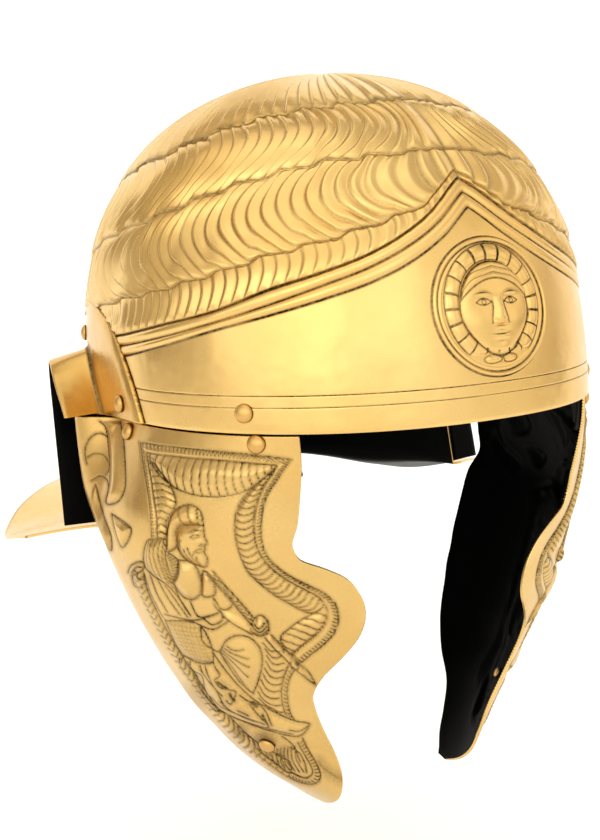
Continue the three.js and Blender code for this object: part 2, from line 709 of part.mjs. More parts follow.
const leftPieces = {
  ear_guard: [drilled(earGuard(), holes(['rivet_ear_front', 'rivet_ear_top', 'rivet_ear_rear'])), brass],
  cheek_piece: [drilled(cheekPiece(),
    holes(['rivet_cheek_front', 'rivet_cheek_rear', 'rivet_cheek_tip'])), brass],
  hinge_strap_front: [drilled(hingeStrap(strapPlaces.front),
    holes(['rivet_brow', 'rivet_cheek_front'])), leather],
  hinge_strap_rear: [drilled(hingeStrap(strapPlaces.rear),
    holes(['rivet_ear_front', 'rivet_cheek_rear'])), leather],
};
for (const [name, seat] of Object.entries(rivetSeats)) leftPieces[name] = [rivet(seat), darkBrass];

for (const [name, [solid, material]] of Object.entries(leftPieces)) {
  helmet.add(toMesh(`${name}_left`, solid, material));
  helmet.add(toMesh(`${name}_right`, mirrored(solid), material));
}

export default helmet;
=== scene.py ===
import math

import bmesh
import bpy
import numpy as np
from mathutils import Matrix, Vector


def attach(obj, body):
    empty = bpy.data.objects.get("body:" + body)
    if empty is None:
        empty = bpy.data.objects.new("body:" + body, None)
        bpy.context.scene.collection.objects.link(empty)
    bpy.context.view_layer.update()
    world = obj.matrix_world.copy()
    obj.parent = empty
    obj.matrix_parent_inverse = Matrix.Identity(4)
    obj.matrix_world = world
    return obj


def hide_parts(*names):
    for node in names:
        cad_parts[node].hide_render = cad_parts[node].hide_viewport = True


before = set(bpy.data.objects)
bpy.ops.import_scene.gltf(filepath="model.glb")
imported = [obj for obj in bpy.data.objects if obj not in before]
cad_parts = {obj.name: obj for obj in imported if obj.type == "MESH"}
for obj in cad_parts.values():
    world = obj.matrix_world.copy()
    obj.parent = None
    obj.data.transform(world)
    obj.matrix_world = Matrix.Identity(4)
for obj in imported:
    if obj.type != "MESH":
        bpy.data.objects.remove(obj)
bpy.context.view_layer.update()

MM = 0.001
MIRROR = np.array([-1, 1, 1])
HALVINGS = 34
AZIMUTH_STEP = 1e-3
LEVEL_STEP = 1e-3
DROP_STEP = 0.05
# Above this level the sheet is taken as level, because the rows meet at the crown
CROWN_LEVEL = 0.012
WELD_DISTANCE = 2e-6
SLIVER = 1e-6

# The camera, from which the cheek's engraving is also placed
CAMERA_RIGHT = np.array([0.855, -0.517, -0.045])
CAMERA_UP = np.array([0.118, 0.109, 0.987])
CAMERA_BACK = np.array([-0.505, -0.849, 0.154])
CAMERA_PLACE = np.array([-280.6, -433.0, 68.8])
CAMERA_LENS = 48.26
SENSOR_WIDTH = 36
FRAME_WIDTH, FRAME_HEIGHT = 600, 840

# Shape of the sheet metal, in millimetres, as in the CAD source
HALF_WIDTH = 105
FRONT_REACH = 109.5
BACK_REACH = 139
CROWN_HEIGHT = 141.3
CROWN_SET_BACK = 9
PLAN_POWER = 2.2
DOME_WIDTH_POWER = 0.94
DOME_HEIGHT_POWER = 0.71
DOME_ROW_CROWDING = 1.35
BOWL_WALL = 1.2
NAPE_DEPTH_AT_EAR = 53
NAPE_DEPTH_AT_BACK = 48
GUARD_DROP = 69
GUARD_HALF_WIDTH = 134
GUARD_BACK_REACH = 191
GUARD_POWER = 3
GUARD_FRONT_SWEEP = 19
EAR_BACK = 45
EAR_RISE = 26
EAR_DROP = 52
EAR_PLATE_WALL = 1.2
FLANGE_REACH = 19.5
FLANGE_LEAN = 5
FLANGE_LEAN_END = 0.56
FLANGE_DROOP = 6
FLANGE_DROOP_END = 0.8
CHEEK_LENGTH = 179
CHEEK_WALL = 1.2
RIM_CLEARANCE = 1
EAR_SWELL_RISE = 16.5
EAR_SWELL_DROP = 55
EAR_SWELL_START = 14
EAR_SWELL_TOP = 38
STRAP_THICKNESS = 2
STRAP_WIDTH = 21
STRAP_RISE = 19
STRAP_DROP = 17
STRAP_SEAT = 0.6
FRONT_STRAP_Y = -70.5
REAR_STRAP_Y = 4.1
RIVET_HEAD_RADIUS = 3.7
RIVET_HEAD_HEIGHT = 2.4
RIVET_HEAD_FOOT = 0.1
RIVET_HEAD_EDGE = 0.35
RIVET_SHANK_RADIUS = 1.5
RIVET_TAIL_RADIUS = 2.6
RIVET_TAIL_HEIGHT = 1
RIVET_SIDES = 32
# The dark rim of a rivet's head lies under this height and outside this radius
RIVET_RIM_TOP = 0.4
RIVET_RIM_START = 3
RIVET_RIM_PATINA = 0.9
GAP = 0.3
MEDALLION_RADIUS = 28
MEDALLION_HALF_HEIGHT = 26.2
MEDALLION_HEIGHT = 42.3
MEDALLION_OFFSET = 2.5

GUARD_PROFILE = [
    # way out, outward, fall
    (0.00, 0.00, 0.00),
    (0.20, 0.05, 0.28),
    (0.42, 0.25, 0.48),
    (0.70, 0.62, 0.74),
    (1.00, 1.00, 1.00),
]
GUARD_EDGE_DROPS = [
    # way back, drop / GUARD_DROP
    (0.00, 0.77),
    (0.20, 0.86),
    (0.68, 1.00),
    (0.84, 0.90),
    (0.93, 0.83),
    (1.00, 0.79),
]
EAR_ARCH = [
    # root y / EAR_BACK, root z, plate edge y / EAR_BACK, plate edge z
    (0.71, 0.00, -0.33, 0.00),
    (0.84, 0.27, -0.20, 0.46),
    (0.98, 0.55, 0.02, 0.98),
    (1.09, 0.80, 0.29, 1.42),
    (1.19, 0.96, 0.67, 1.70),
    (1.30, 0.96, 1.16, 1.82),
    (1.35, 0.70, 1.60, 1.64),
    (1.29, 0.15, 1.84, 0.98),
    (1.17, -0.27, 1.84, 0.04),
    (1.07, -0.64, 1.76, -0.50),
    (1.00, -1.00, 1.66, -1.00),
]
CHEEK_ROWS = [
    # drop, half width, reach, front edge x, rear edge y / EAR_BACK
    (0.000, 1.000, 1.000, 0.700, 0.910),
    (0.060, 1.035, 0.965, 0.694, 0.910),
    (0.120, 1.070, 0.915, 0.690, 0.890),
    (0.190, 1.105, 0.855, 0.686, 0.845),
    (0.260, 1.115, 0.808, 0.685, 0.780),
    (0.283, 1.112, 0.797, 0.655, 0.810),
    (0.302, 1.106, 0.789, 0.585, 0.830),
    (0.330, 1.093, 0.778, 0.500, 0.845),
    (0.370, 1.070, 0.763, 0.438, 0.845),
    (0.435, 1.030, 0.742, 0.402, 0.840),
    (0.485, 0.995, 0.722, 0.420, 0.827),
    (0.530, 0.962, 0.702, 0.470, 0.800),
    (0.580, 0.922, 0.672, 0.527, 0.773),
    (0.630, 0.880, 0.640, 0.545, 0.722),
    (0.675, 0.838, 0.614, 0.522, 0.678),
    (0.740, 0.775, 0.578, 0.472, 0.589),
    (0.810, 0.685, 0.552, 0.412, 0.400),
    (0.875, 0.600, 0.540, 0.372, 0.130),
    (0.930, 0.510, 0.538, 0.356, -0.060),
    (0.970, 0.430, 0.537, 0.346, -0.230),
    (1.000, 0.370, 0.537, 0.340, -0.420),
]

# Heights in millimetres of the lines that part the bowl's relief, round from the brow
RELIEF_LINES = [
    # azimuth, crown band / second, second / third, third / fringe, chevron top, middle, bottom
    (0, 125.0, 102.8, 94.5, 91.6, 86.0, 80.2),
    (3, 124.5, 102.7, 90.5, 87.6, 81.5, 75.5),
    (6, 124.0, 102.4, 86.4, 83.2, 77.0, 71.0),
    (9, 123.7, 102.0, 82.4, 79.0, 73.2, 67.4),
    (16, 123.0, 100.8, 77.9, 71.4, 66.2, 60.4),
    (24, 122.4, 99.9, 74.0, 64.8, 60.0, 54.6),
    (35, 121.3, 98.2, 69.2, 58.6, 53.8, 49.0),
    (46, 119.7, 94.9, 65.4, 53.6, 48.0, 44.2),
    (60, 117.0, 90.4, 59.4, 45.8, 41.5, 38.7),
    (75, 112.6, 84.5, 54.0, 40.6, 35.8, 32.4),
    (90, 107.7, 79.0, 49.6, 35.6, 31.0, 26.8),
    (110, 102.2, 71.9, 42.5, 28.5, 24.3, 20.0),
    (130, 93.0, 62.0, 34.5, 20.5, 16.4, 12.4),
    (155, 84.5, 52.5, 26.5, 13.0, 9.0, 5.2),
    (180, 81.0, 49.0, 23.5, 10.0, 6.2, 2.6),
]

# Bands of hair locks from the crown down. A positive bow or sweep runs away from the brow
HAIR_BANDS = [
    # locks round the bowl, radius of the band, bow, sweep and height in mm, rows of points
    (74, 62, 8.0, 7.0, 0.95, 25),
    (88, 86, -9.0, 6.5, 1.1, 17),
    (100, 100, 11.0, -6.0, 1.15, 17),
    (118, 107, -3.2, 2.4, 0.7, 9),
]
# The partings run in long steps
PARTING_STEPS = [
    # length of a step and its depth in mm
    (27, 2.0),
    (22, 2.0),
    (19, 1.7),
]


def smooth(share):
    share = np.clip(share, 0, 1)
    return share * share * (3 - 2 * share)


def bell(value, width):
    return np.exp(-(value / width) ** 2)


def look_up(table, key, column):
    """Smooth curve through a table's column, by its first column."""
    keys, values = np.array(table, float)[:, [0, column]].T
    slopes = np.gradient(values, keys)
    key = np.clip(key, keys[0], keys[-1])
    row = np.clip(np.searchsorted(keys, key) - 1, 0, len(keys) - 2)
    span = keys[row + 1] - keys[row]
    s = (key - keys[row]) / span
    return ((1 + 2 * s) * (1 - s) ** 2 * values[row] + s * (1 - s) ** 2 * span * slopes[row]
            + s * s * (3 - 2 * s) * values[row + 1] + s * s * (s - 1) * span * slopes[row + 1])


def oval(azimuth, half_width, front, back):
    across, along = np.sin(azimuth), np.cos(azimuth)
    reach = np.where(along > 0, front, back)
    return (np.sign(across) * np.abs(across) ** (2 / PLAN_POWER) * half_width,
            -np.sign(along) * np.abs(along) ** (2 / PLAN_POWER) * reach)


def nape_depth(y):
    share = np.clip((y - EAR_BACK) / (BACK_REACH - EAR_BACK), 0, 1)
    return NAPE_DEPTH_AT_EAR + (NAPE_DEPTH_AT_BACK - NAPE_DEPTH_AT_EAR) * share


def skin(azimuth, level):
    """Outer face of bowl and neck guard: 0 crown, 1 rim, 2 foot of the nape, 3 guard's edge."""
    azimuth, level = np.broadcast_arrays(np.asarray(azimuth, float), np.asarray(level, float))
    x, y = oval(azimuth, HALF_WIDTH, FRONT_REACH, BACK_REACH)
    climb = np.pi / 2 * np.clip(1 - level, 0, 1) ** DOME_ROW_CROWDING
    rise = np.sin(climb) ** DOME_HEIGHT_POWER
    depth = nape_depth(y)
    length = np.hypot(x, y - EAR_BACK) + 1e-9
    ray_x, ray_y = x / length, (y - EAR_BACK) / length
    edge = ((np.abs(ray_x) / GUARD_HALF_WIDTH) ** GUARD_POWER
            + (np.abs(ray_y) / (GUARD_BACK_REACH - EAR_BACK)) ** GUARD_POWER) ** (-1 / GUARD_POWER)
    edge_x, edge_y = ray_x * edge, ray_y * edge + EAR_BACK
    drop = GUARD_DROP * look_up(GUARD_EDGE_DROPS,
                                (edge_y - EAR_BACK) / (GUARD_BACK_REACH - EAR_BACK), 1)
    out = np.clip(level - 2, 0, 1)
    reach, fall = look_up(GUARD_PROFILE, out, 1), look_up(GUARD_PROFILE, out, 2)
    shrink = np.cos(climb) ** DOME_WIDTH_POWER
    z = np.where(level <= 1, CROWN_HEIGHT * rise,
                 -depth * np.clip(level - 1, 0, 1) - fall * (drop - depth))
    return np.stack([x * shrink + (edge_x - x) * reach * (level > 2),
                     y * shrink + CROWN_SET_BACK * rise + (edge_y - y) * reach * (level > 2),
                     z], -1)


def level_of(z, y=0.0):
    climb = np.arcsin(np.clip(z / CROWN_HEIGHT, 0, 1) ** (1 / DOME_HEIGHT_POWER))
    dome = 1 - (climb / (np.pi / 2)) ** (1 / DOME_ROW_CROWDING)
    return np.where(z < 0, 1 - z / nape_depth(y), dome)


def outward(surface, azimuth, row, step):
    """Unit normal of a surface that is given by azimuth and level or drop."""
    along = surface(azimuth + AZIMUTH_STEP, row) - surface(azimuth - AZIMUTH_STEP, row)
    down = surface(azimuth, row + step) - surface(azimuth, row - step)
    normal = np.cross(down, along)
    return normal / (np.linalg.norm(normal, axis=-1, keepdims=True) + 1e-12)


def on_bowl(azimuth, level, out):
    azimuth, level, out = np.broadcast_arrays(azimuth, level, out)
    normal = outward(skin, azimuth, np.maximum(level, CROWN_LEVEL), LEVEL_STEP)
    normal = np.where((level < CROWN_LEVEL)[..., None], np.array([0, 0, 1.0]), normal)
    return skin(azimuth, level) + normal * out[..., None]


def azimuth_at(surface, y, row):
    """Azimuth on the wearer's left at which a row of a surface reaches y."""
    low, high = np.zeros(np.shape(y)), np.full(np.shape(y), np.pi)
    for _ in range(HALVINGS):
        middle = (low + high) / 2
        before = surface(middle, row)[..., 1] < y
        low, high = np.where(before, middle, low), np.where(before, high, middle)
    return low


def at_side(y, z, out):
    level = level_of(z, y)
    return on_bowl(azimuth_at(skin, y, level), level, out)


# Meshes

def strip_faces(rows, columns, wrap=False):
    row, column = np.mgrid[0:rows - 1, 0:columns if wrap else columns - 1]
    beside = (column + 1) % columns
    a, b = row * columns + column, row * columns + beside
    return np.stack([a, a + columns, b + columns, b], -1).reshape(-1, 4)


class Sheet:
    """Grids of points that are welded into one mesh."""

    def __init__(self):
        self.points, self.faces, self.patina_and_shade, self.paint, self.count = [], [], [], [], 0

    def add(self, points, patina_and_shade=0.0, paint=0, wrap=False, flip=False):
        rows, columns = points.shape[:2]
        faces = strip_faces(rows, columns, wrap) + self.count
        self.faces.append(faces[:, ::-1] if flip else faces)
        self.points.append(points.reshape(-1, 3))
        self.patina_and_shade.append(np.broadcast_to(patina_and_shade, (rows, columns)).reshape(-1))
        self.paint.append(np.full(len(faces), paint))
        self.count += rows * columns

    def close(self, outer, inner):
        """Close the gap between two grids all round their edges."""
        for a, b, flip in ((outer[0], inner[0], False), (outer[-1], inner[-1], True),
                           (outer[:, 0], inner[:, 0], True), (outer[:, -1], inner[:, -1], False)):
            self.add(np.array([a, b]), flip=flip)

    def build(self, name, materials, slot, replaced, mirror=False):
        points = np.concatenate(self.points) * MM
        faces = np.concatenate(self.faces)
        if mirror:
            points = points * MIRROR
            faces = faces[:, ::-1]
        mesh = bpy.data.meshes.new(name)
        mesh.from_pydata(points.tolist(), [], faces.tolist())
        mesh.attributes.new("patina_and_shade", "FLOAT", "POINT").data.foreach_set(
            "value", np.concatenate(self.patina_and_shade))
        mesh.polygons.foreach_set("material_index", np.concatenate(self.paint))
        shape = bmesh.new()
        shape.from_mesh(mesh)
        bmesh.ops.remove_doubles(shape, verts=shape.verts, dist=WELD_DISTANCE)
        bmesh.ops.dissolve_degenerate(shape, edges=shape.edges, dist=SLIVER)
        shape.to_mesh(mesh)
        shape.free()
        mesh.polygons.foreach_set("use_smooth", [True] * len(mesh.polygons))
        for material in materials:
            mesh.materials.append(material)
        piece = bpy.data.objects.new(name, mesh)
        bpy.context.collection.objects.link(piece)
        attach(piece, "root")
        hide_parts(*replaced)

    def build_pair(self, stem, ending, materials, slot):
        """The wearer's left piece and its mirror image."""
        for side, mirror in (("left", False), ("right", True)):
            self.build(f"{stem}_{side}_{ending}", materials, slot, [f"{stem}_{side}"], mirror)


# Materials

# Noise patterns of the metal: repeats in a metre, and octaves
DARKENING_GRAIN = (900, 4)
DARKENING_PATCHES = (55, 3)
COLOR_PATCHES = (11, 5)
POLISH_PATCHES = (40, 5)
DENTS = (26, 3)
DENT_DEPTH = 0.004
POLISH_RANGE = 0.1
DARKENING_ROUGHNESS = 0.35


def new_material(name):
    material = bpy.data.materials.new(name)
    material.use_nodes = True
    tree = material.node_tree
    return material, tree, tree.nodes["Principled BSDF"]


def node(tree, kind, **values):
    made = tree.nodes.new(kind)
    for key, value in values.items():
        if hasattr(made, key):
            setattr(made, key, value)
        else:
            made.inputs[key.replace("_", " ")].default_value = value
    return made


def noise(tree, scale, detail):
    places = node(tree, "ShaderNodeTexCoord")
    pattern = node(tree, "ShaderNodeTexNoise", Scale=scale, Detail=detail)
    tree.links.new(places.outputs["Object"], pattern.inputs["Vector"])
    return pattern.outputs["Fac"]


def ranged(tree, value, low, high, start=0.3, end=0.7):
    made = node(tree, "ShaderNodeMapRange")
    made.inputs["From Min"].default_value = start
    made.inputs["From Max"].default_value = end
    made.inputs["To Min"].default_value = low
    made.inputs["To Max"].default_value = high
    tree.links.new(value, made.inputs["Value"])
    return made.outputs["Result"]


def product(tree, first, second):
    made = node(tree, "ShaderNodeMath", operation="MULTIPLY", use_clamp=True)
    tree.links.new(first, made.inputs[0])
    tree.links.new(second, made.inputs[1])
    return made.outputs[0]


def mixed(tree, share, first, second):
    made = node(tree, "ShaderNodeMix", data_type="RGBA")
    tree.links.new(share, made.inputs["Factor"])
    for socket, value in (("A", first), ("B", second)):
        target = next(s for s in made.inputs if s.name == socket and s.type == "RGBA")
        if isinstance(value, tuple):
            target.default_value = (*value, 1)
        else:
            tree.links.new(value, target)
    return next(s for s in made.outputs if s.type == "RGBA")


def brass_material(name, bright, dull, patina_and_shade, roughness, unevenness):
    """Brass in patches of two colours, darker and rougher in the grooves where patina lies, and
    where shade is painted beside the cheek's strokes and under the medallion's lower lip.
    """
    material, tree, shader = new_material(name)
    patina_and_shade_map = node(tree, "ShaderNodeAttribute", attribute_name="patina_and_shade").outputs["Fac"]
    grain = ranged(tree, noise(tree, *DARKENING_GRAIN), 0.7, 1.1)
    patches = ranged(tree, noise(tree, *DARKENING_PATCHES), 0.7, 1.2)
    darkening = product(tree, product(tree, patina_and_shade_map, grain), patches)
    metal = mixed(tree, ranged(tree, noise(tree, *COLOR_PATCHES), 0, 1), bright, dull)
    tree.links.new(mixed(tree, darkening, metal, patina_and_shade), shader.inputs["Base Color"])
    rough = ranged(tree, noise(tree, *POLISH_PATCHES), roughness, roughness + POLISH_RANGE)
    rougher = node(tree, "ShaderNodeMath", operation="MULTIPLY_ADD")
    tree.links.new(darkening, rougher.inputs[0])
    rougher.inputs[1].default_value = DARKENING_ROUGHNESS
    tree.links.new(rough, rougher.inputs[2])
    tree.links.new(rougher.outputs[0], shader.inputs["Roughness"])
    shader.inputs["Metallic"].default_value = 1
    bump = node(tree, "ShaderNodeBump", Strength=unevenness, Distance=DENT_DEPTH)
    tree.links.new(noise(tree, *DENTS), bump.inputs["Height"])
    tree.links.new(bump.outputs["Normal"], shader.inputs["Normal"])
    return material


def plain_material(name, color, roughness, specular):
    material, _, shader = new_material(name)
    shader.inputs["Base Color"].default_value = (*color, 1)
    shader.inputs["Roughness"].default_value = roughness
    shader.inputs["Specular IOR Level"].default_value = specular
    return material


# Dark colour of the patina, also used for the painted shade
PATINA_AND_SHADE_COLOR = (0.02, 0.011, 0.004)
BRASS = brass_material("brass", bright=(0.84, 0.58, 0.22), dull=(0.74, 0.46, 0.14),
                       patina_and_shade=PATINA_AND_SHADE_COLOR, roughness=0.22, unevenness=0.3)
# The ear guards' brass is darker than the bowl's: their patina, and painted shade on the plates and
# flanges
EAR_BRASS_PATINA_AND_SHADE = brass_material("ear_brass_patina_and_shade", bright=(0.74, 0.48, 0.16), dull=(0.64, 0.38, 0.10),
                           patina_and_shade=PATINA_AND_SHADE_COLOR, roughness=0.22, unevenness=0.3)
RIVET_BRASS = brass_material("rivet_brass", bright=(0.72, 0.45, 0.15), dull=(0.58, 0.34, 0.10),
                             patina_and_shade=(0.04, 0.02, 0.01), roughness=0.32, unevenness=0.05)
BLACK_PAINT = plain_material("black_paint", (0.0015, 0.0015, 0.0015), roughness=0.35,
                             specular=0.02)
LEATHER = plain_material("leather", (0.012, 0.01, 0.009), roughness=0.55, specular=0.2)


# Bowl

COLUMNS = 890
NAPE_COLUMNS = 421
RIM_COLUMNS = 300
INSIDE_ROWS = 60
INSIDE_SWELL = 0.6
HAIR_FOOT, HAIR_FOOT_FADE = 60, 14
# Just above the foot of the nape, and azimuths before and behind the guard's front edge
FOOT_LEVEL = 1.98
GUARD_FRONT_AZIMUTHS = (1.2, 2.6)
# Band depth in millimetres from which the locks lean in full
FULL_BAND = 24
# The incised lines of the brow end under the ear guards
BROW_LINES_END = 1.8
BROW_LINES_FADE = 0.2
# Behind this y, and below this height, the sheet has no relief
PLAIN_REAR, PLAIN_REAR_FADE = 55, 12
PLAIN_RIM, PLAIN_RIM_FADE = 3, 2
# The plate's rounded corner: its row of the arch, and how far it covers the bowl
CORNER_ROW = 6
CORNER_Y, CORNER_Z = 72, 43
EAR_ROOTS = np.array([(y * EAR_BACK, z * (EAR_RISE if z > 0 else EAR_DROP))
                      for y, z, _, _ in EAR_ARCH])
ARCH_TOP = int(np.argmax(EAR_ROOTS[:, 0]))

# Raised ribbons of the brow chevron, and how high each is
RIBBON_HEIGHTS = (1.0, 0.85)
RIBBON = [
    # share of the way down, height in mm, patina
    (0.00, -0.25, 1.0),
    (0.06, -0.25, 1.0),
    (0.12, 0.05, 0.3),
    (0.24, 0.66, 0.0),
    (0.45, 0.90, 0.0),
    (0.70, 0.80, 0.0),
    (0.86, 0.40, 0.0),
    (0.93, 0.00, 0.3),
]
# The groove under the chevron's lower ribbon
LAST_GROOVE = [
    # distance below the ribbon, relief and patina
    (0.0, -0.25, 1.0),
    (0.5, -0.25, 0.9),
    (0.9, 0.0, 0.2),
]
# The plain sheet begins this far under the ribbon, and ends this far over the incised lines
PLAIN_START, PLAIN_END = 1.3, 0.4
# The brow band below the chevron, with its two incised lines
BROW = [
    # height above the rim, relief and patina
    (14.7, 0.0, 0.0),
    (14.4, 0.0, 0.0),
    (14.15, -0.16, 0.9),
    (13.95, -0.16, 0.9),
    (13.7, 0.0, 0.0),
    (13.4, 0.0, 0.0),
    (10.3, 0.0, 0.0),
    (10.0, 0.0, 0.0),
    (9.75, -0.14, 0.75),
    (9.55, -0.14, 0.75),
    (9.3, 0.0, 0.0),
    (9.0, 0.0, 0.0),
    (4.5, 0.0, 0.0),
    (1.5, 0.0, 0.0),
    (0.4, -0.05, 0.0),
    (0.0, -0.35, 0.0),
]


def band_rows(count):
    """Shares of the way down a band, close together at its two edges."""
    middle = np.linspace(0, 1, count - 2)
    return np.concatenate([[0, 0.016], 0.045 + 0.91 * middle, [0.984, 1]])


def line_height(turn, line):
    height = look_up(RELIEF_LINES, np.degrees(np.abs(turn)), line + 1)
    if line >= len(PARTING_STEPS):
        return height
    length, depth = PARTING_STEPS[line]
    share = np.abs(turn) * HALF_WIDTH / length % 1
    step = np.where(share < 0.7, share / 0.7, 1 - smooth((share - 0.7) / 0.3)) - 0.5
    return height + depth * step * smooth(np.abs(turn) / 0.35)


def lock_relief(part, share, height):
    """A crescent lock with a thin raised line along one side."""
    swell = smooth(part / 0.8) ** 0.8 * (1 - smooth((part - 0.8) / 0.2))
    seam = np.minimum(part, 1 - part)
    ends = np.minimum(1, share / 0.09) ** 0.6 * (0.25 + 0.75 * np.minimum(1, (1 - share) / 0.05))
    line = 0.25 * bell(part - 0.78, 0.07)
    rise = 0.1 + 0.65 * smooth(share * 1.2) + height * ends * (swell + line)
    edge = bell((1 - share) / 0.018, 1) * 0.6 + bell(share / 0.018, 1) * 0.5
    return rise, np.clip(0.6 * ends * bell(seam, 0.07) + edge, 0, 1)


def bowl_rows():
    """Turn from the brow, height, relief and patina of each row of points on the dome."""
    start = np.linspace(0, 2 * np.pi, COLUMNS, endpoint=False)
    turn = np.arctan2(np.sin(start), np.cos(start))
    side, turn = np.sign(np.sin(start) + 1e-9), np.abs(turn)
    rows = []
    for band, (locks, radius, bow, sweep, height, count) in enumerate(HAIR_BANDS):
        settle = smooth(turn / 0.3) * smooth((np.pi - turn) / 0.3)
        part = locks * turn / (2 * np.pi) % 1
        for share in band_rows(count):
            span = line_height(turn, band - 1) - line_height(turn, band) if band else FULL_BAND
            lean = (bow * np.sin(np.pi * share ** 0.85) + sweep * share ** 2) / radius
            here = turn + lean * settle * np.minimum(1, span / FULL_BAND)
            foot = line_height(here, band)
            rise, darkening = lock_relief(part, share, height)
            if band:
                top = line_height(here, band - 1)
                z = top + (foot - top) * share
            else:
                level = level_of(foot) * share
                z = CROWN_HEIGHT * np.sin(np.pi / 2 * (1 - level) ** DOME_ROW_CROWDING) \
                    ** DOME_HEIGHT_POWER
                rise = 0.4 + (rise - 0.4) * smooth(share * 4)
                darkening = darkening * smooth(share * 4)
            rows.append((side * here, z, rise, darkening))
        turn = here
    lines = [line_height(turn, line) for line in (3, 4, 5)]
    for upper, lower, height in zip(lines, lines[1:], RIBBON_HEIGHTS):
        for share, rise, darkening in RIBBON:
            rows.append((side * turn, upper + (lower - upper) * share, rise * height, darkening))
    for drop, rise, darkening in LAST_GROOVE:
        rows.append((side * turn, lines[2] - drop, rise, darkening))
    top, foot = lines[2] - PLAIN_START, BROW[0][0] + PLAIN_END
    for share in (0, 0.15, 0.3, 0.45, 0.6, 0.8):
        rows.append((side * turn, top + (foot - top) * share, 0.0, 0.0))
    front = 1 - smooth((turn - BROW_LINES_END) / BROW_LINES_FADE)
    for z, rise, darkening in BROW:
        rows.append((side * turn, z + 0 * turn, rise * front, darkening * front))
    rows = [np.stack(np.broadcast_arrays(*row)) for row in rows]
    return np.stack(rows, 1)


def bowl_sheet():
    turns, heights, relief, patina_and_shade = bowl_rows()
    heights = np.minimum.accumulate(heights, 0)
    plan = skin(turns, level_of(heights))
    # Under the ear guards the sheet is flat, and it ends at the ear opening
    bare = 1 - plate_cover(plan[..., 1], heights)
    bare = bare * (1 - smooth((plan[..., 1] - PLAIN_REAR) / PLAIN_REAR_FADE)
                   * smooth((PLAIN_RIM - heights) / PLAIN_RIM_FADE))
    limit = ear_limit(plan)
    points = on_bowl(turns, level_of(np.maximum(heights, limit)), relief * bare)
    sheet = Sheet()
    sheet.add(points, patina_and_shade * bare, wrap=True)
    return sheet


def ear_limit(plan):
    """Height at which the sheet ends over the ear openings."""
    top = np.interp(plan[..., 1], EAR_ROOTS[:ARCH_TOP + 1, 0], EAR_ROOTS[:ARCH_TOP + 1, 1],
                    left=0, right=0)
    return np.where(np.abs(plan[..., 0]) > HALF_WIDTH / 2, top, 0)


def plate_cover(y, z):
    """1 where the ear guard's plate covers the bowl."""
    edge = np.array([(y * EAR_BACK, z * (EAR_RISE if z > 0 else EAR_DROP))
                     for _, _, y, z in EAR_ARCH])
    front, back = edge[:CORNER_ROW + 1], edge[CORNER_ROW:]
    top = np.interp(y, front[:, 0], front[:, 1], left=-1, right=-1)
    rear = np.interp(-z, -back[:, 1], back[:, 0])
    before = (y > edge[0, 0]) & (y < CORNER_Y) & (z < top)
    behind = (y >= CORNER_Y) & (y < rear) & (z < CORNER_Z)
    return (before | behind).astype(float)


def nape_rows():
    """Levels of the rows from the rim behind the ears to the guard's edge, and their starts."""
    levels = np.concatenate([np.linspace(1, 2, 16), 2 + np.linspace(0, 1, 30)[1:]])
    roots = EAR_ROOTS[ARCH_TOP:]
    slope = GUARD_FRONT_SWEEP / (GUARD_HALF_WIDTH - HALF_WIDTH)
    starts = []
    for level in levels:
        if level <= 2:
            y = np.interp((level - 1) * EAR_DROP, -roots[:, 1], roots[:, 0])
            starts.append(float(azimuth_at(skin, y, min(level, FOOT_LEVEL))))
            continue
        low, high = GUARD_FRONT_AZIMUTHS
        for _ in range(HALVINGS):
            middle = (low + high) / 2
            x, y, _z = skin(middle, level)
            behind = y >= EAR_BACK + slope * max(0, x - HALF_WIDTH)
            low, high = (low, middle) if behind else (middle, high)
        starts.append(low)
    return levels, starts


def build_bowl():
    bowl_sheet().build("bowl_shell", [BRASS], "brass", ["bowl"])

    levels, starts = nape_rows()
    spread = np.linspace(0, 1, NAPE_COLUMNS)

    def face(out):
        return np.array([on_bowl(start + (2 * np.pi - 2 * start) * spread, level, out)
                         for level, start in zip(levels, starts)])

    outer, inner = face(0.0), face(-BOWL_WALL)
    nape = Sheet()
    nape.add(outer)
    for rim, under in ((outer[-1], inner[-1]), (outer[:, 0], inner[:, 0]),
                       (outer[:, -1], inner[:, -1])):
        nape.add(np.array([rim, under]))
    half_front = float(azimuth_at(skin, EAR_ROOTS[0, 0], 1.0))
    front = np.linspace(-1, 1, RIM_COLUMNS) * half_front
    nape.add(np.array([on_bowl(front, 1.0, BROW[-1][1]), on_bowl(front, 1.0, -BOWL_WALL)]))
    nape.build("nape_and_guard", [BRASS], "brass", ["bowl"])

    ring = np.linspace(0, 2 * np.pi, RIM_COLUMNS, endpoint=False)
    base = skin(ring[None], np.linspace(0.002, 1, INSIDE_ROWS)[:, None])
    level = level_of(np.maximum(base[..., 2], ear_limit(base)))
    # The inside follows the hair outward, so that the sheet stays thin
    swell = INSIDE_SWELL * smooth((base[..., 2] - HAIR_FOOT) / HAIR_FOOT_FADE)
    inside = Sheet()
    inside.add(on_bowl(np.broadcast_to(ring, level.shape), level, swell - BOWL_WALL),
               wrap=True, flip=True)
    inside.add(inner[:, ::3], flip=True)
    inside.build("bowl_inside", [BLACK_PAINT], "brass", ["bowl"])


# Medallion

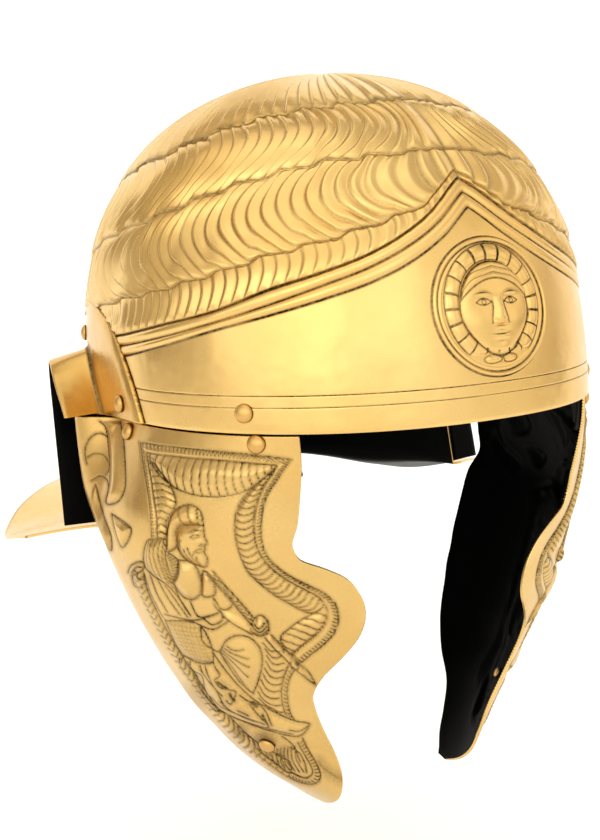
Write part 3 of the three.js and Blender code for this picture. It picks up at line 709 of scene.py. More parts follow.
def medallion_relief(x, y):
    """Height in mm and patina of the boss, with painted shade under the lower lip, at shares of its
    radius.
    """
    radius, side = np.hypot(x, y), np.abs(x)
    curl = np.abs(np.cos(np.arctan2(y, x) * 10.5))
    roll_at = np.hypot(x / 0.71, (y - 0.02) / 0.755) - 1
    open_foot = smooth((y + 0.70) / 0.1)
    roll = 1.6 * np.sqrt(np.clip(1 - (roll_at / 0.15) ** 2, 0, 1)) \
        * (0.74 + 0.26 * curl ** 0.5) * open_foot
    # The face is laid out in shares of its own half width and half height
    u, v = side / 0.585, (y + 0.03) / 0.665
    oval_at = np.hypot(u / (1 - 0.2 * smooth((-0.1 - v) / 0.9)), v)
    face = 2.2 * np.clip(1 - oval_at ** 2, 0, 1) ** 0.42
    eye_u, eye_v = (u - 0.40) / 0.20, v - 0.14
    lids = np.clip(1 - eye_u ** 2, 0, 1)
    brow_v = v - 0.345 + 0.5 * (u - 0.42) ** 2
    nose_width = 0.095 + 0.075 * smooth((0.1 - v) / 0.4)
    features = (
        -0.75 * bell(eye_u, 1.05) * bell(eye_v - 0.02, 0.12)
        + 0.65 * bell(eye_u, 0.75) * bell(eye_v, 0.07)
        + 0.45 * bell(u - 0.42, 0.26) * bell(brow_v, 0.05)
        + 1.35 * bell(u, nose_width) * smooth((v + 0.36) / 0.06) * smooth((0.4 - v) / 0.5)
        + 0.50 * bell(u - 0.15, 0.06) * bell(v + 0.28, 0.055)
        + 0.42 * bell(u, 0.19) * bell(v + 0.495, 0.04)
        + 0.42 * bell(u, 0.19) * bell(v + 0.605, 0.045)
        + 0.42 * bell(u, 0.20) * bell(v + 0.84, 0.09)
        + 0.25 * bell(u - 0.52, 0.2) * bell(v + 0.22, 0.2))
    # Hair is combed from a parting over the forehead to the temples
    hair_at = v - 0.64 + 0.45 * u ** 2
    strand = np.abs(np.sin(24 * hair_at + 0.6 * np.sin(7 * u)))
    hair = smooth(hair_at / 0.05) * (oval_at < 1)
    face = face + features * (face > 0.4) * (1 - hair) + hair * (0.35 + 0.4 * strand)
    neck = 1.0 * smooth((0.2 - side) / 0.05) * smooth((-0.6 - y) / 0.05) * smooth((y + 0.82) / 0.05)
    knot = 1.5 * np.sqrt(np.clip(1 - np.hypot(x / 0.055, (y + 0.76) / 0.05) ** 2, 0, 1))
    loop_at = np.hypot((side - 0.15) / 0.13, (y + 0.745) / 0.06)
    loops = 1.3 * np.sqrt(np.clip(1 - loop_at ** 2, 0, 1))
    rings = 0.3 + 0.9 * bell(radius - 0.965, 0.03) + 0.4 * bell(radius - 0.885, 0.022)
    relief = np.maximum.reduce([rings, roll, face, neck, knot, loops])
    bare = (oval_at < 0.98) * (1 - hair)
    on_eye = bare * (np.abs(eye_u) < 1.1)
    lines = (
        1.35 * bell(radius - 1.005, 0.014) + 1.2 * bell(radius - 0.925, 0.012)
        + 1.1 * bell(roll_at - 0.16, 0.016) * open_foot
        + 1.1 * bell(oval_at - 1.01, 0.028)
        + 0.9 * hair * bell(strand, 0.2) + 0.9 * bell(hair_at, 0.02) * (oval_at < 1)
        + 1.0 * (curl < 0.24) * (np.abs(roll_at) < 0.15) * open_foot
        + 1.0 * bare * bell(u - 0.42, 0.22) * bell(brow_v, 0.02)
        + 1.0 * on_eye * bell(eye_v - 0.085 * lids, 0.018)
        + 0.9 * on_eye * bell(eye_v + 0.06 * lids, 0.016)
        + 0.8 * on_eye * bell(np.hypot(eye_u * 0.2, eye_v - 0.008) - 0.055, 0.015)
        + 0.9 * bell(u - nose_width - 0.07, 0.022) * smooth((v + 0.36) / 0.05)
        * smooth((0.22 - v) / 0.1)
        + 0.8 * bell(u, 0.12) * bell(v + 0.375, 0.016)
        + 1.2 * bell(u, 0.2) * bell(v + 0.552 - 0.25 * u ** 2, 0.016)
        # Painted shade under the lower lip
        + 0.3 * bell(u, 0.1) * bell(v + 0.70, 0.018)
        + 0.9 * bell(loop_at - 1.05, 0.12) * (y < -0.65))
    return relief * smooth((1.02 - radius) / 0.03), np.clip(lines, 0, 1)


def build_medallion():
    rings, sides = 190, 340
    share = np.linspace(0.0, 1.02, rings)[:, None]
    direction = np.linspace(0, 2 * np.pi, sides, endpoint=False)[None]
    across, up = share * np.cos(direction), share * np.sin(direction)
    relief, lines = medallion_relief(across, up)
    z = MEDALLION_HEIGHT + MEDALLION_HALF_HEIGHT * up
    level = level_of(z)
    x = MEDALLION_OFFSET + MEDALLION_RADIUS * across
    half = skin(np.full(z.shape, np.pi / 2), level)[..., 0]
    azimuth = np.arcsin(np.sign(x) * np.abs(x / half) ** (PLAN_POWER / 2))
    sheet = Sheet()
    sheet.add(on_bowl(azimuth, level, relief + 0.03), lines, wrap=True)
    sheet.build("brow_medallion", [BRASS], "brass", ["bowl"])


# Ear guards

EAR_STATIONS = 150
# The seam at the flange's foot: its width on the plate, and its rise up the flange
SEAM_WIDTH = 1.4
SEAM_INSET = 0.25
SEAM_RISE = 1.1


def ear_stations(count):
    """Places round the arch: share, flange root, plate edge and the direction between them."""
    keys = np.arange(len(EAR_ARCH), dtype=float)
    places = np.linspace(0, len(EAR_ARCH) - 1, count + 1)
    lines = []
    for y, z in ((0, 1), (2, 3)):
        heights = [row[z] * (EAR_RISE if row[z] > 0 else EAR_DROP) for row in EAR_ARCH]
        widths = [row[y] * EAR_BACK for row in EAR_ARCH]
        lines.append(np.stack([look_up(list(zip(keys, widths)), places, 1),
                               look_up(list(zip(keys, heights)), places, 1)], -1))
    root, edge = lines
    across = edge - root
    unit = across / np.linalg.norm(across, axis=-1, keepdims=True)
    return places / places[-1], root, edge, unit


def build_ear_guards():
    share, root, edge, unit = ear_stations(EAR_STATIONS)
    lean = FLANGE_LEAN * np.clip(1 - share / FLANGE_LEAN_END, 0, 1)
    droop = FLANGE_DROOP * np.sin(np.pi * np.minimum(1, share / FLANGE_DROOP_END)) ** 2
    outside = GAP + EAR_PLATE_WALL

    def line(start, shift, out):
        place = start + unit * shift
        return at_side(place[:, 0], place[:, 1], out)

    def tip(start, part, turned):
        place = start + unit * (lean * part)[:, None] + unit * turned
        reach = outside + part * (FLANGE_REACH - outside)
        return at_side(place[:, 0], place[:, 1] - droop * part, reach)

    plate = [line(root + (edge - root) * part, 0.0, outside) for part in
             (1, 0.96, 0.8, 0.6, 0.45, 0.3, 0.2)]
    plate[0] = line(edge, 0.0, GAP)
    foot = line(root, EAR_PLATE_WALL + SEAM_WIDTH, outside + 0.05)
    fillet = line(root, EAR_PLATE_WALL + SEAM_INSET, outside + SEAM_RISE)
    outer = [tip(root, part, EAR_PLATE_WALL) for part in (0.12, 0.3, 0.5, 0.7, 0.85, 0.97)]
    lip = [tip(root, 1.0, EAR_PLATE_WALL * 0.75), tip(root, 1.0, EAR_PLATE_WALL * 0.25)]
    inner = [tip(root, part, 0.0) for part in (0.97, 0.8, 0.6, 0.4, 0.2, 0.05)]
    under = [line(root, 0.0, GAP)] + [line(root + (edge - root) * part, 0.0, GAP)
                                      for part in (0.3, 0.7, 0.995)]
    bright = np.array([*plate, foot, fillet, *outer, *lip])
    darkening = np.zeros(bright.shape[:2])
    darkening[len(plate)] = 0.5
    darkening[len(plate) + 1] = 0.9
    darkening[0] = 0.6
    dark = np.array([lip[1], *inner, under[0]])
    back = np.array([*under, plate[0]])
    sheet = Sheet()
    sheet.add(bright, darkening, flip=True)
    sheet.add(dark, paint=1, flip=True)
    sheet.add(back, paint=1, flip=True)
    section = np.array([*plate, foot, fillet, *outer, *lip, *inner, *under])
    half = len(section) // 2
    for end, flip in ((0, True), (-1, False)):
        ring = section[:, end]
        sheet.add(np.array([ring[:half], ring[::-1][:half]]), flip=flip)
    sheet.build_pair("ear_guard", "shell", [EAR_BRASS_PATINA_AND_SHADE, BLACK_PAINT], "brass")


# Cheek pieces

CHEEK_ROWS_FINE = 409
CHEEK_COLUMNS_FINE = 208
CHEEK_HALF_WIDTH = HALF_WIDTH - BOWL_WALL - GAP
CHEEK_REACH = FRONT_REACH - BOWL_WALL - GAP


def cheek_oval(azimuth, drop):
    share = np.clip(drop / CHEEK_LENGTH, 0, 1)
    reach = CHEEK_REACH * look_up(CHEEK_ROWS, share, 2)
    x, y = oval(azimuth, CHEEK_HALF_WIDTH * look_up(CHEEK_ROWS, share, 1), reach, reach)
    swell = EAR_SWELL_RISE * np.clip(1 - drop / EAR_SWELL_DROP, 0, 1) \
        * smooth((y - EAR_SWELL_START) / (EAR_SWELL_TOP - EAR_SWELL_START))
    return np.stack([x + swell, y, -RIM_CLEARANCE - drop], -1)


def on_cheek(azimuth, drop, out):
    azimuth, drop, out = np.broadcast_arrays(azimuth, drop, out)
    normal = outward(cheek_oval, azimuth, drop, DROP_STEP)
    return cheek_oval(azimuth, drop) + normal * out[..., None]


def cheek_grid(rows, columns):
    """Azimuth and drop at a grid of places on the cheek piece."""
    share = np.linspace(0, 1, rows)
    half, reach = look_up(CHEEK_ROWS, share, 1), look_up(CHEEK_ROWS, share, 2)
    across = look_up(CHEEK_ROWS, share, 3) / half
    behind = look_up(CHEEK_ROWS, share, 4) * EAR_BACK / (CHEEK_REACH * reach)
    front = np.arcsin(across ** (PLAN_POWER / 2))
    rear = np.pi / 2 + np.arcsin(np.sign(behind) * np.abs(behind) ** (PLAN_POWER / 2))
    azimuth = front[:, None] + (rear - front)[:, None] * np.linspace(0, 1, columns)[None]
    return azimuth, np.broadcast_to(share[:, None] * CHEEK_LENGTH, azimuth.shape)


# Engraving of the cheek piece, in quarter pixels of the frame right and down from a corner
ENGRAVING_CORNER = (40, 400)
ENGRAVING_SCALE = 4
BORDER_TOP = [(400, 168), (520, 186), (640, 198), (740, 208), (880, 222), (1005, 238)]
BORDER_TOP_INNER = [(425, 210), (560, 228), (700, 240), (820, 252), (945, 262)]
BORDER_LEFT = [(400, 168), (412, 260), (425, 340), (438, 430), (446, 548)]
BORDER_LEFT_INNER = [(425, 210), (440, 300), (452, 380), (464, 470), (468, 548)]
BORDER_RIGHT = [
    (1005, 238), (980, 270), (945, 325), (912, 375), (893, 430), (884, 500), (887, 565),
    (905, 620), (945, 665), (1005, 708), (1080, 745), (1140, 775), (1180, 815), (1195, 868),
    (1178, 930), (1135, 978), (1085, 1018), (1042, 1052)]
BORDER_RIGHT_INNER = [
    (945, 262), (918, 305), (885, 360), (863, 425), (855, 500), (862, 570), (885, 625), (930, 678),
    (990, 722), (1065, 762), (1120, 795), (1146, 840), (1140, 890), (1108, 935), (1060, 975),
    (1012, 1012)]
BORDER_LOW = [(1040, 1055), (1006, 1100), (990, 1150), (990, 1200), (1000, 1250), (1015, 1278)]
BORDER_LOW_INNER = [(1012, 1020), (985, 1080), (970, 1130), (965, 1180), (973, 1230), (985, 1262)]
TIP_LOOP = [
    (1050, 1352), (1072, 1400), (1102, 1450), (1122, 1500), (1108, 1530), (1070, 1537),
    (1015, 1520), (955, 1485), (900, 1442), (850, 1397)]
TIP_LOOP_INNER = [
    (1032, 1372), (1058, 1420), (1085, 1468), (1088, 1496), (1060, 1512), (1015, 1495),
    (965, 1462), (915, 1425), (870, 1388)]
SWAG = [
    (440, 245), (480, 300), (530, 345), (590, 372), (660, 386), (725, 386), (795, 374), (855, 345),
    (905, 305), (942, 268)]
LEAF_BAND = [
    (450, 250), (482, 290), (512, 330), (536, 380), (540, 425), (520, 455), (502, 490), (506, 525),
    (500, 555)]
WREATH = [
    (925, 290), (870, 335), (820, 380), (790, 430), (778, 500), (785, 570), (800, 620), (830, 685),
    (880, 735), (935, 780), (990, 812), (1045, 842), (1090, 858)]
WREATH_INNER = [
    (945, 270), (912, 318), (882, 370), (862, 430), (857, 500), (864, 565), (885, 625), (930, 680),
    (985, 722), (1040, 752), (1090, 778), (1125, 800), (1140, 830)]
WREATH_END = [(1090, 858), (1045, 880), (1000, 912), (962, 950), (975, 1000)]
WREATH_END_INNER = [(1146, 845), (1138, 892), (1106, 936), (1060, 975), (1010, 1018)]
FOLDS = [(888, 960), (905, 1020), (892, 1090), (872, 1160), (880, 1205)]
FOLDS_INNER = [(955, 985), (975, 1050), (970, 1120), (958, 1190), (975, 1262)]
SCALES = [
    (362, 690), (398, 770), (450, 876), (520, 1004), (590, 1114), (660, 1212), (740, 1312),
    (820, 1392), (900, 1450), (1000, 1516)]
SCALES_INNER = [
    (412, 690), (432, 770), (478, 868), (542, 984), (612, 1092), (690, 1200), (762, 1272),
    (832, 1342), (905, 1395), (1000, 1450)]
CAP = [
    (505, 600), (508, 520), (524, 462), (552, 430), (592, 418), (626, 430), (646, 460), (652, 502)]
CAP_BROW = [(505, 608), (530, 600), (548, 580), (544, 545), (548, 515), (575, 502), (652, 502)]
CAP_RIBS = [
    [(592, 420), (606, 455), (613, 498)], [(556, 432), (572, 465), (577, 500)],
    [(626, 434), (634, 465), (636, 500)]]
FACE = [
    (652, 504), (655, 530), (656, 545), (668, 572), (657, 582), (660, 596), (655, 606), (661, 618),
    (670, 640), (662, 668), (635, 664), (600, 650), (568, 624), (548, 586)]
FACE_BROW = [(546, 550), (552, 520), (576, 506)]
EYE = [(612, 540), (622, 533), (636, 536), (642, 541), (630, 546), (617, 545), (612, 540)]
FACE_LINES = [
    [(606, 524), (622, 517), (646, 521)], [(650, 572), (643, 580), (652, 584)],
    [(654, 607), (640, 607), (632, 604)], [(650, 592), (630, 596), (616, 622)],
    [(600, 585), (608, 606), (622, 628), (640, 645)], [(584, 590), (596, 618), (612, 640)],
    [(632, 622), (640, 640), (644, 658)], [(570, 556), (562, 566), (568, 582)]]
CLOAK = [
    (505, 556), (440, 556), (420, 580), (413, 620), (418, 665), (452, 702), (510, 742), (560, 800),
    (600, 862), (560, 800), (520, 700), (502, 640), (500, 600), (505, 556)]
CLOAK_FOLDS = [
    [(438, 566), (432, 620), (450, 690)], [(452, 562), (448, 620), (470, 700)],
    [(468, 560), (464, 620), (492, 712)], [(484, 560), (480, 630), (515, 730)],
    [(496, 560), (492, 640), (532, 750)]]
CLOAK_TAIL = [
    [(415, 690), (440, 770), (480, 850), (500, 880)], [(440, 700), (470, 780), (510, 850)],
    [(470, 715), (510, 790), (560, 860)], [(500, 742), (550, 812), (590, 870)]]
COLLAR = [(512, 612), (548, 640), (552, 690), (540, 725)]
COLLAR_INNER = [(506, 620), (522, 655), (526, 695), (520, 720)]
CHEST = [
    (550, 640), (600, 648), (630, 680), (646, 730), (640, 776), (610, 798), (575, 790), (545, 756),
    (530, 722), (546, 690), (550, 640)]
CHEST_SIDE = [(650, 682), (688, 702), (700, 742), (696, 782), (652, 786), (646, 740), (650, 682)]
BODY_LINES = [
    [(600, 800), (618, 848), (646, 870), (720, 850)],
    [(700, 796), (722, 850), (740, 872), (790, 904), (850, 940)],
    [(696, 706), (732, 745), (768, 796), (764, 826), (740, 840), (712, 832)],
    [(690, 786), (704, 830), (720, 850)], [(500, 858), (590, 880), (648, 876), (718, 852)],
    [(655, 876), (690, 900), (728, 880), (722, 852)],
    [(648, 906), (690, 918), (730, 900), (760, 878)]]
ARM = [(720, 838), (770, 850), (850, 905), (860, 940), (800, 915), (745, 880), (720, 838)]
FIST = [
    (852, 880), (880, 862), (908, 880), (916, 912), (904, 938), (872, 944), (848, 920), (852, 880)]
FINGERS = [
    [(858, 892), (880, 900), (900, 884)], [(862, 908), (884, 914), (908, 902)],
    [(866, 926), (888, 928), (908, 920)]]
SPEAR_UPPER = [
    [(664, 690), (720, 756), (782, 826), (846, 902)],
    [(690, 686), (742, 744), (800, 808), (858, 876)]]
SPEAR_LOWER = [
    [(900, 952), (950, 1004), (1010, 1066), (1058, 1110), (1104, 1142)],
    [(924, 940), (972, 986), (1030, 1046), (1078, 1094), (1104, 1142)]]
SPEAR_RIDGE = [(1052, 1090), (1100, 1138)]
SADDLE = [(500, 882), (640, 902), (692, 1048), (570, 1020), (500, 882)]
SADDLE_EDGE = [(570, 1026), (630, 1040), (694, 1054)]
SKIRT = [
    (640, 902), (652, 955), (680, 990), (716, 1006), (745, 962), (790, 942), (845, 955),
    (882, 1000), (888, 1060), (870, 1130), (852, 1175)]
KNEE = [
    (716, 1006), (740, 962), (786, 942), (845, 952), (884, 1000), (890, 1060), (872, 1130),
    (852, 1175), (800, 1130), (750, 1060), (716, 1006)]
KNEE_FOLDS = [
    [(722, 1010), (770, 1066), (818, 1140)], [(726, 1004), (780, 1040), (838, 1092)],
    [(732, 998), (784, 1020), (842, 1052)], [(740, 990), (790, 1002), (838, 1020)],
    [(750, 980), (782, 988), (818, 986)]]
PROW = [
    (690, 1010), (740, 1080), (800, 1150), (870, 1210), (950, 1255), (1020, 1284), (1068, 1292),
    (1076, 1304), (1040, 1344), (980, 1340), (900, 1318), (820, 1290), (760, 1264), (700, 1236),
    (660, 1170), (640, 1110), (600, 1080), (580, 1036), (690, 1054)]
PROW_LINES = [
    [(836, 1208), (870, 1245), (914, 1290), (910, 1308)], [(850, 1205), (900, 1240), (930, 1292)],
    [(1000, 1312), (1040, 1318), (1072, 1304)],
    [(755, 1150), (786, 1164), (770, 1204), (752, 1190)],
    [(700, 1062), (722, 1094), (706, 1110), (724, 1136), (756, 1150)],
    [(600, 1040), (612, 1080), (650, 1100), (656, 1150)],
    [(640, 1060), (672, 1104), (712, 1150), (742, 1210)],
    [(690, 1180), (720, 1210), (760, 1236), (830, 1262), (900, 1290)],
    [(560, 1030), (566, 1070), (596, 1110), (640, 1170), (700, 1236)],
    [(590, 1046), (612, 1086), (630, 1132), (664, 1182), (700, 1222), (726, 1246)],
    [(662, 1064), (684, 1100), (704, 1140), (736, 1172)],
    [(710, 1238), (780, 1274), (860, 1298), (930, 1318), (1010, 1334)],
    [(750, 1222), (800, 1254), (850, 1276), (890, 1284)],
    [(800, 1176), (840, 1206), (880, 1222), (924, 1232), (960, 1262)]]
# Short deep gouges between the lines
GOUGES = [
    [(632, 1128), (656, 1160)], [(716, 1118), (752, 1146)], [(764, 1166), (782, 1192)],
    [(838, 1206), (868, 1224)], [(892, 1254), (914, 1290)], [(732, 1196), (760, 1232)],
    [(608, 1080), (626, 1108)], [(680, 1186), (706, 1222)], [(800, 1232), (836, 1250)]]
TIP_FAN = [(914, 1400), (950, 1396), (990, 1388), (1026, 1384)]
TIP_FAN_FOOT = [(930, 1436), (966, 1462), (1014, 1488), (1066, 1494)]
TIP_LINES = [
    [(968, 1346), (1006, 1376), (1024, 1408), (1040, 1448)],
    [(930, 1412), (968, 1424), (996, 1452), (1006, 1478)],
    [(1000, 1392), (1036, 1412), (1058, 1452), (1066, 1490)]]
SMALL_LEAF = [(352, 690), (364, 662), (398, 645), (412, 654), (410, 680), (372, 700)]
SMALL_LEAF_LINES = [
    [(366, 700), (378, 744), (414, 748)], [(384, 676), (398, 710), (412, 716)],
    [(372, 690), (392, 664), (408, 668)]]
EAR_CONCHES = [
    [(186, 252), (178, 210), (186, 170), (212, 140), (242, 132), (268, 146)],
    [(188, 228), (212, 214), (246, 216), (268, 238), (276, 272), (262, 300)],
    [(206, 320), (240, 302), (268, 322), (272, 370), (264, 402)]]
EAR_BAR = [
    (236, 84), (262, 110), (272, 180), (278, 260), (276, 340), (262, 410), (300, 412), (326, 386),
    (340, 340), (340, 270), (336, 200), (330, 130), (320, 84)]
EAR_LOBE = [
    (222, 335), (236, 400), (256, 470), (282, 540), (284, 602), (258, 560), (230, 490), (208, 425),
    (210, 370), (222, 335)]
TRIANGLES = [[(286, 455), (302, 530), (330, 590), (362, 515), (286, 455)], [(286, 455), (362, 515)]]
# A brown smear beside the tip
SMEAR = [(1112, 1446), (1140, 1478), (1176, 1502), (1212, 1522)]

# Rows of short curved strokes between two lines
RIBS = [
    # from, to, strokes, bow, share of the way across
    (BORDER_TOP, BORDER_TOP_INNER, 38, 0, 0.5),
    (BORDER_LEFT, BORDER_LEFT_INNER, 26, 0, 0.6),
    (BORDER_RIGHT, BORDER_RIGHT_INNER, 74, 0, 0.45),
    (BORDER_LOW, BORDER_LOW_INNER, 16, 0, 0.6),
    (TIP_LOOP, TIP_LOOP_INNER, 34, 0, 0.6),
    (LEAF_BAND, BORDER_LEFT_INNER, 12, 14, 0.95),
    (WREATH, WREATH_INNER, 27, 9, 0.98),
    (WREATH_END, WREATH_END_INNER, 7, -10, 0.98),
    (FOLDS, FOLDS_INNER, 10, 14, 1.0),
    (COLLAR, COLLAR_INNER, 10, 0, 1.0),
    (SPEAR_UPPER[0], SPEAR_UPPER[1], 24, 0, 0.7),
    (SCALES, SCALES_INNER, 36, 18, 0.95),
    (BORDER_TOP_INNER, SWAG, 17, 4, 0.98),
    (TIP_FAN, TIP_FAN_FOOT, 8, 12, 0.95),
]
# Patina all over the cheek piece, and its stains: right, down, radius and strength
DULLNESS = 0.14
STAINS = [
    (800, 1322, 42, 0.65),
    (898, 1368, 62, 0.7),
    (970, 1420, 70, 0.45),
    (420, 720, 60, 0.3),
    (640, 1180, 90, 0.4),
    (880, 700, 60, 0.2),
    (250, 500, 60, 0.25),
]
# Forms that stand up from the sheet
SWELL_GAIN = 2.0
SWELLS = [
    # outline, height in mm, width of its soft edge
    (BORDER_TOP + BORDER_TOP_INNER[::-1], 0.35, 14),
    (BORDER_LEFT + BORDER_LEFT_INNER[::-1], 0.35, 12),
    (BORDER_RIGHT + BORDER_RIGHT_INNER[::-1], 0.45, 14),
    (BORDER_LOW + BORDER_LOW_INNER[::-1], 0.35, 12),
    (TIP_LOOP + TIP_LOOP_INNER[::-1], 0.35, 12),
    (BORDER_TOP_INNER + SWAG[::-1], 0.9, 55),
    (LEAF_BAND + BORDER_LEFT_INNER[::-1], 0.7, 25),
    (WREATH + WREATH_INNER[::-1], 0.8, 32),
    (WREATH_END + WREATH_END_INNER[::-1], 0.8, 35),
    (FOLDS + FOLDS_INNER[::-1], 0.5, 30),
    (SCALES + SCALES_INNER[::-1], 0.55, 25),
    (CAP + CAP_BROW[::-1], 1.3, 34),
    (FACE + FACE_BROW, 1.1, 38),
    (CLOAK, 0.8, 35),
    (CHEST, 1.2, 48),
    (CHEST_SIDE, 0.9, 26),
    (ARM, 0.9, 28),
    (FIST, 1.3, 30),
    (SPEAR_UPPER[0] + SPEAR_UPPER[1][::-1], 0.6, 12),
    (SPEAR_LOWER[0] + SPEAR_LOWER[1][::-1], 0.7, 12),
    (SADDLE, 0.7, 30),
    (KNEE, 1.4, 70),
    (PROW, 0.9, 50),
    (SMALL_LEAF, 0.6, 20),
    (EAR_BAR, 1.1, 34),
    (EAR_LOBE, 1.2, 26),
    (TRIANGLES[0], 0.8, 24),
]
# The saddle's edge is cut twice, so it is deeper
CUTS = [
    BORDER_TOP, BORDER_TOP_INNER, BORDER_LEFT, BORDER_LEFT_INNER, BORDER_RIGHT, BORDER_RIGHT_INNER,
    BORDER_LOW, BORDER_LOW_INNER, TIP_LOOP, TIP_LOOP_INNER, SWAG, LEAF_BAND, WREATH, WREATH_END,
    SCALES_INNER, CAP, CAP_BROW, FACE, EYE, CLOAK, COLLAR, CHEST, CHEST_SIDE, FIST, SADDLE,
    *[SADDLE_EDGE] * 2, SKIRT, KNEE[7:], PROW[:14], SPEAR_RIDGE, SMALL_LEAF, *CAP_RIBS,
    *FACE_LINES, *CLOAK_FOLDS, *CLOAK_TAIL, *BODY_LINES, *FINGERS, *TIP_LINES, *SPEAR_UPPER,
    *SPEAR_LOWER, *KNEE_FOLDS, *PROW_LINES, *SMALL_LEAF_LINES, *EAR_CONCHES, EAR_BAR, EAR_LOBE,
    *TRIANGLES]
FINE_CUTS = [*CAP_RIBS, *FACE_LINES, *CLOAK_FOLDS, *CLOAK_TAIL, *KNEE_FOLDS, EYE]
SADDLE_HATCHES = 9


def bent(points, steps=5):
    """A smooth line through points."""
    points = np.array(points, float)
    if len(points) < 3:
        return points
    ends = np.concatenate([points[:1], points, points[-1:]])
    share = np.linspace(0, 1, steps, endpoint=False)[:, None]
    pieces = []
    for a, b, c, d in zip(ends[:-3], ends[1:-2], ends[2:-1], ends[3:]):
        pieces.append(0.5 * (2 * b + (c - a) * share + (2 * a - 5 * b + 4 * c - d) * share ** 2
                             + (3 * b - a - 3 * c + d) * share ** 3))
    return np.concatenate([*pieces, points[-1:]])


def along(line, shares):
    """Points at shares of a smooth line's length."""
    line = bent(line)
    way = np.concatenate([[0], np.cumsum(np.hypot(*np.diff(line, axis=0).T))])
    return np.stack([np.interp(np.array(shares) * way[-1], way, line[:, k]) for k in (0, 1)], -1)


# Widths in quarter pixels, depths in millimetres and patina of the strokes
PLAIN_STROKE = (3.8, 0.28, 1.0)
FINE_STROKE = (2.8, 0.15, 0.95)
RIB_STROKE = (3.1, 0.25, 1.0)
HATCH_STROKE = (2.0, 0.1, 0.5)
SMEAR_STROKE = (11, 0.12, 0.6)
GOUGE_STROKE = (7.5, 0.25, 1.0)
# Painted shade also spreads beside a stroke, this many times its width and this dark, darkening the
# sheet round the embossed forms as shading would
PAINTED_SHADE_SPREAD = 3.5
PAINTED_SHADE_DARKNESS = 0.42
# A stroke is worked out up to this many times its width away
STROKE_REACH = 9
# Cosine of the steepest view from which the engraving was placed
LEAST_FACING = 0.02


class Engraving:
    """Relief, and patina with painted shade beside the strokes, at places given in the engraving's
    own units.
    """

    def __init__(self, across, down, seen):
        self.across, self.down, self.seen = across, down, seen
        self.relief, self.patina_and_shade = np.zeros(across.shape), np.full(across.shape, DULLNESS)

    def near(self, line, margin):
        (left, top), (right, foot) = line.min(0) - margin, line.max(0) + margin
        return np.nonzero(self.seen & (self.across > left) & (self.across < right)
                          & (self.down > top) & (self.down < foot))

    def distance(self, line, spots):
        x, y = self.across[spots], self.down[spots]
        best = np.full(x.shape, np.inf)
        for (ax, ay), (bx, by) in zip(line[:-1], line[1:]):
            dx, dy = bx - ax, by - ay
            share = np.clip(((x - ax) * dx + (y - ay) * dy) / (dx * dx + dy * dy + 1e-9), 0, 1)
            best = np.minimum(best, np.hypot(x - ax - share * dx, y - ay - share * dy))
        return best

    def cut(self, line, stroke):
        width, depth, darkening = stroke
        spots = self.near(line, STROKE_REACH * width)
        distance = self.distance(line, spots)
        shape = bell(distance, width)
        self.relief[spots] -= depth * shape
        # The stroke's own patina, and a wider band of painted shade beside it
        stroke_patina_and_shade = np.maximum(darkening * shape, PAINTED_SHADE_DARKNESS * bell(distance, PAINTED_SHADE_SPREAD * width))
        self.patina_and_shade[spots] = np.maximum(self.patina_and_shade[spots], stroke_patina_and_shade)

    def swell(self, outline, height, softness):
        line = bent([*outline, outline[0]], 3)
        spots = self.near(line, 0)
        x, y = self.across[spots], self.down[spots]
        inside = np.zeros(x.shape, bool)
        for (ax, ay), (bx, by) in zip(line[:-1], line[1:]):
            crosses = (ay > y) != (by > y)
            inside ^= crosses & (x < (bx - ax) * (y - ay) / (by - ay + 1e-9) + ax)
        rise = SWELL_GAIN * height * smooth(self.distance(line, spots) / softness) ** 0.7
        self.relief[spots] += rise * inside


def frame_pixels(points):
    """Where the camera's frame shows points, in pixels right and down."""
    focal = CAMERA_LENS / SENSOR_WIDTH * FRAME_HEIGHT
    away = points - CAMERA_PLACE
    depth = -away @ CAMERA_BACK
    return (FRAME_WIDTH / 2 + focal * (away @ CAMERA_RIGHT) / depth,
            FRAME_HEIGHT / 2 - focal * (away @ CAMERA_UP) / depth)


def cheek_relief(azimuth, drop):
    """Relief, and patina with painted shade beside the strokes, placed as the camera sees the piece
    on the wearer's right.
    """
    place = on_cheek(azimuth, drop, 0.0) * MIRROR
    normal = outward(cheek_oval, azimuth, drop, DROP_STEP) * MIRROR
    ray = CAMERA_PLACE - place
    facing = (normal * ray).sum(-1) / np.linalg.norm(ray, axis=-1)
    across, down = frame_pixels(place)
    carved = Engraving((across - ENGRAVING_CORNER[0]) * ENGRAVING_SCALE,
                       (down - ENGRAVING_CORNER[1]) * ENGRAVING_SCALE, facing > LEAST_FACING)
    for outline, height, softness in SWELLS:
        carved.swell(outline, height, softness)
    for right, low, radius, strength in STAINS:
        away = np.hypot(carved.across - right, carved.down - low)
        carved.patina_and_shade = np.maximum(carved.patina_and_shade, strength * bell(away, radius) * carved.seen)
    for first, second, count, bow, reach in RIBS:
        shares = (np.arange(count) + 0.5) / count
        for start, end in zip(along(first, shares), along(second, shares)):
            end = start + (end - start) * reach
            aside = np.array([start[1] - end[1], end[0] - start[0]])
            middle = (start + end) / 2 + aside / (np.hypot(*aside) + 1e-9) * bow
            carved.cut(bent([start, middle, end], 4), RIB_STROKE)
    corners = np.array(SADDLE[:4], float)
    for share in (np.arange(SADDLE_HATCHES) + 0.5) / SADDLE_HATCHES:
        for edges in (((0, 1), (3, 2)), ((0, 3), (1, 2))):
            ends = [corners[a] + (corners[b] - corners[a]) * share for a, b in edges]
            carved.cut(np.array(ends), HATCH_STROKE)
    carved.cut(bent(SMEAR), SMEAR_STROKE)
    for line in GOUGES:
        carved.cut(bent(line), GOUGE_STROKE)
    for line in CUTS:
        carved.cut(bent(line), FINE_STROKE if line in FINE_CUTS else PLAIN_STROKE)
    return carved.relief, carved.patina_and_shade


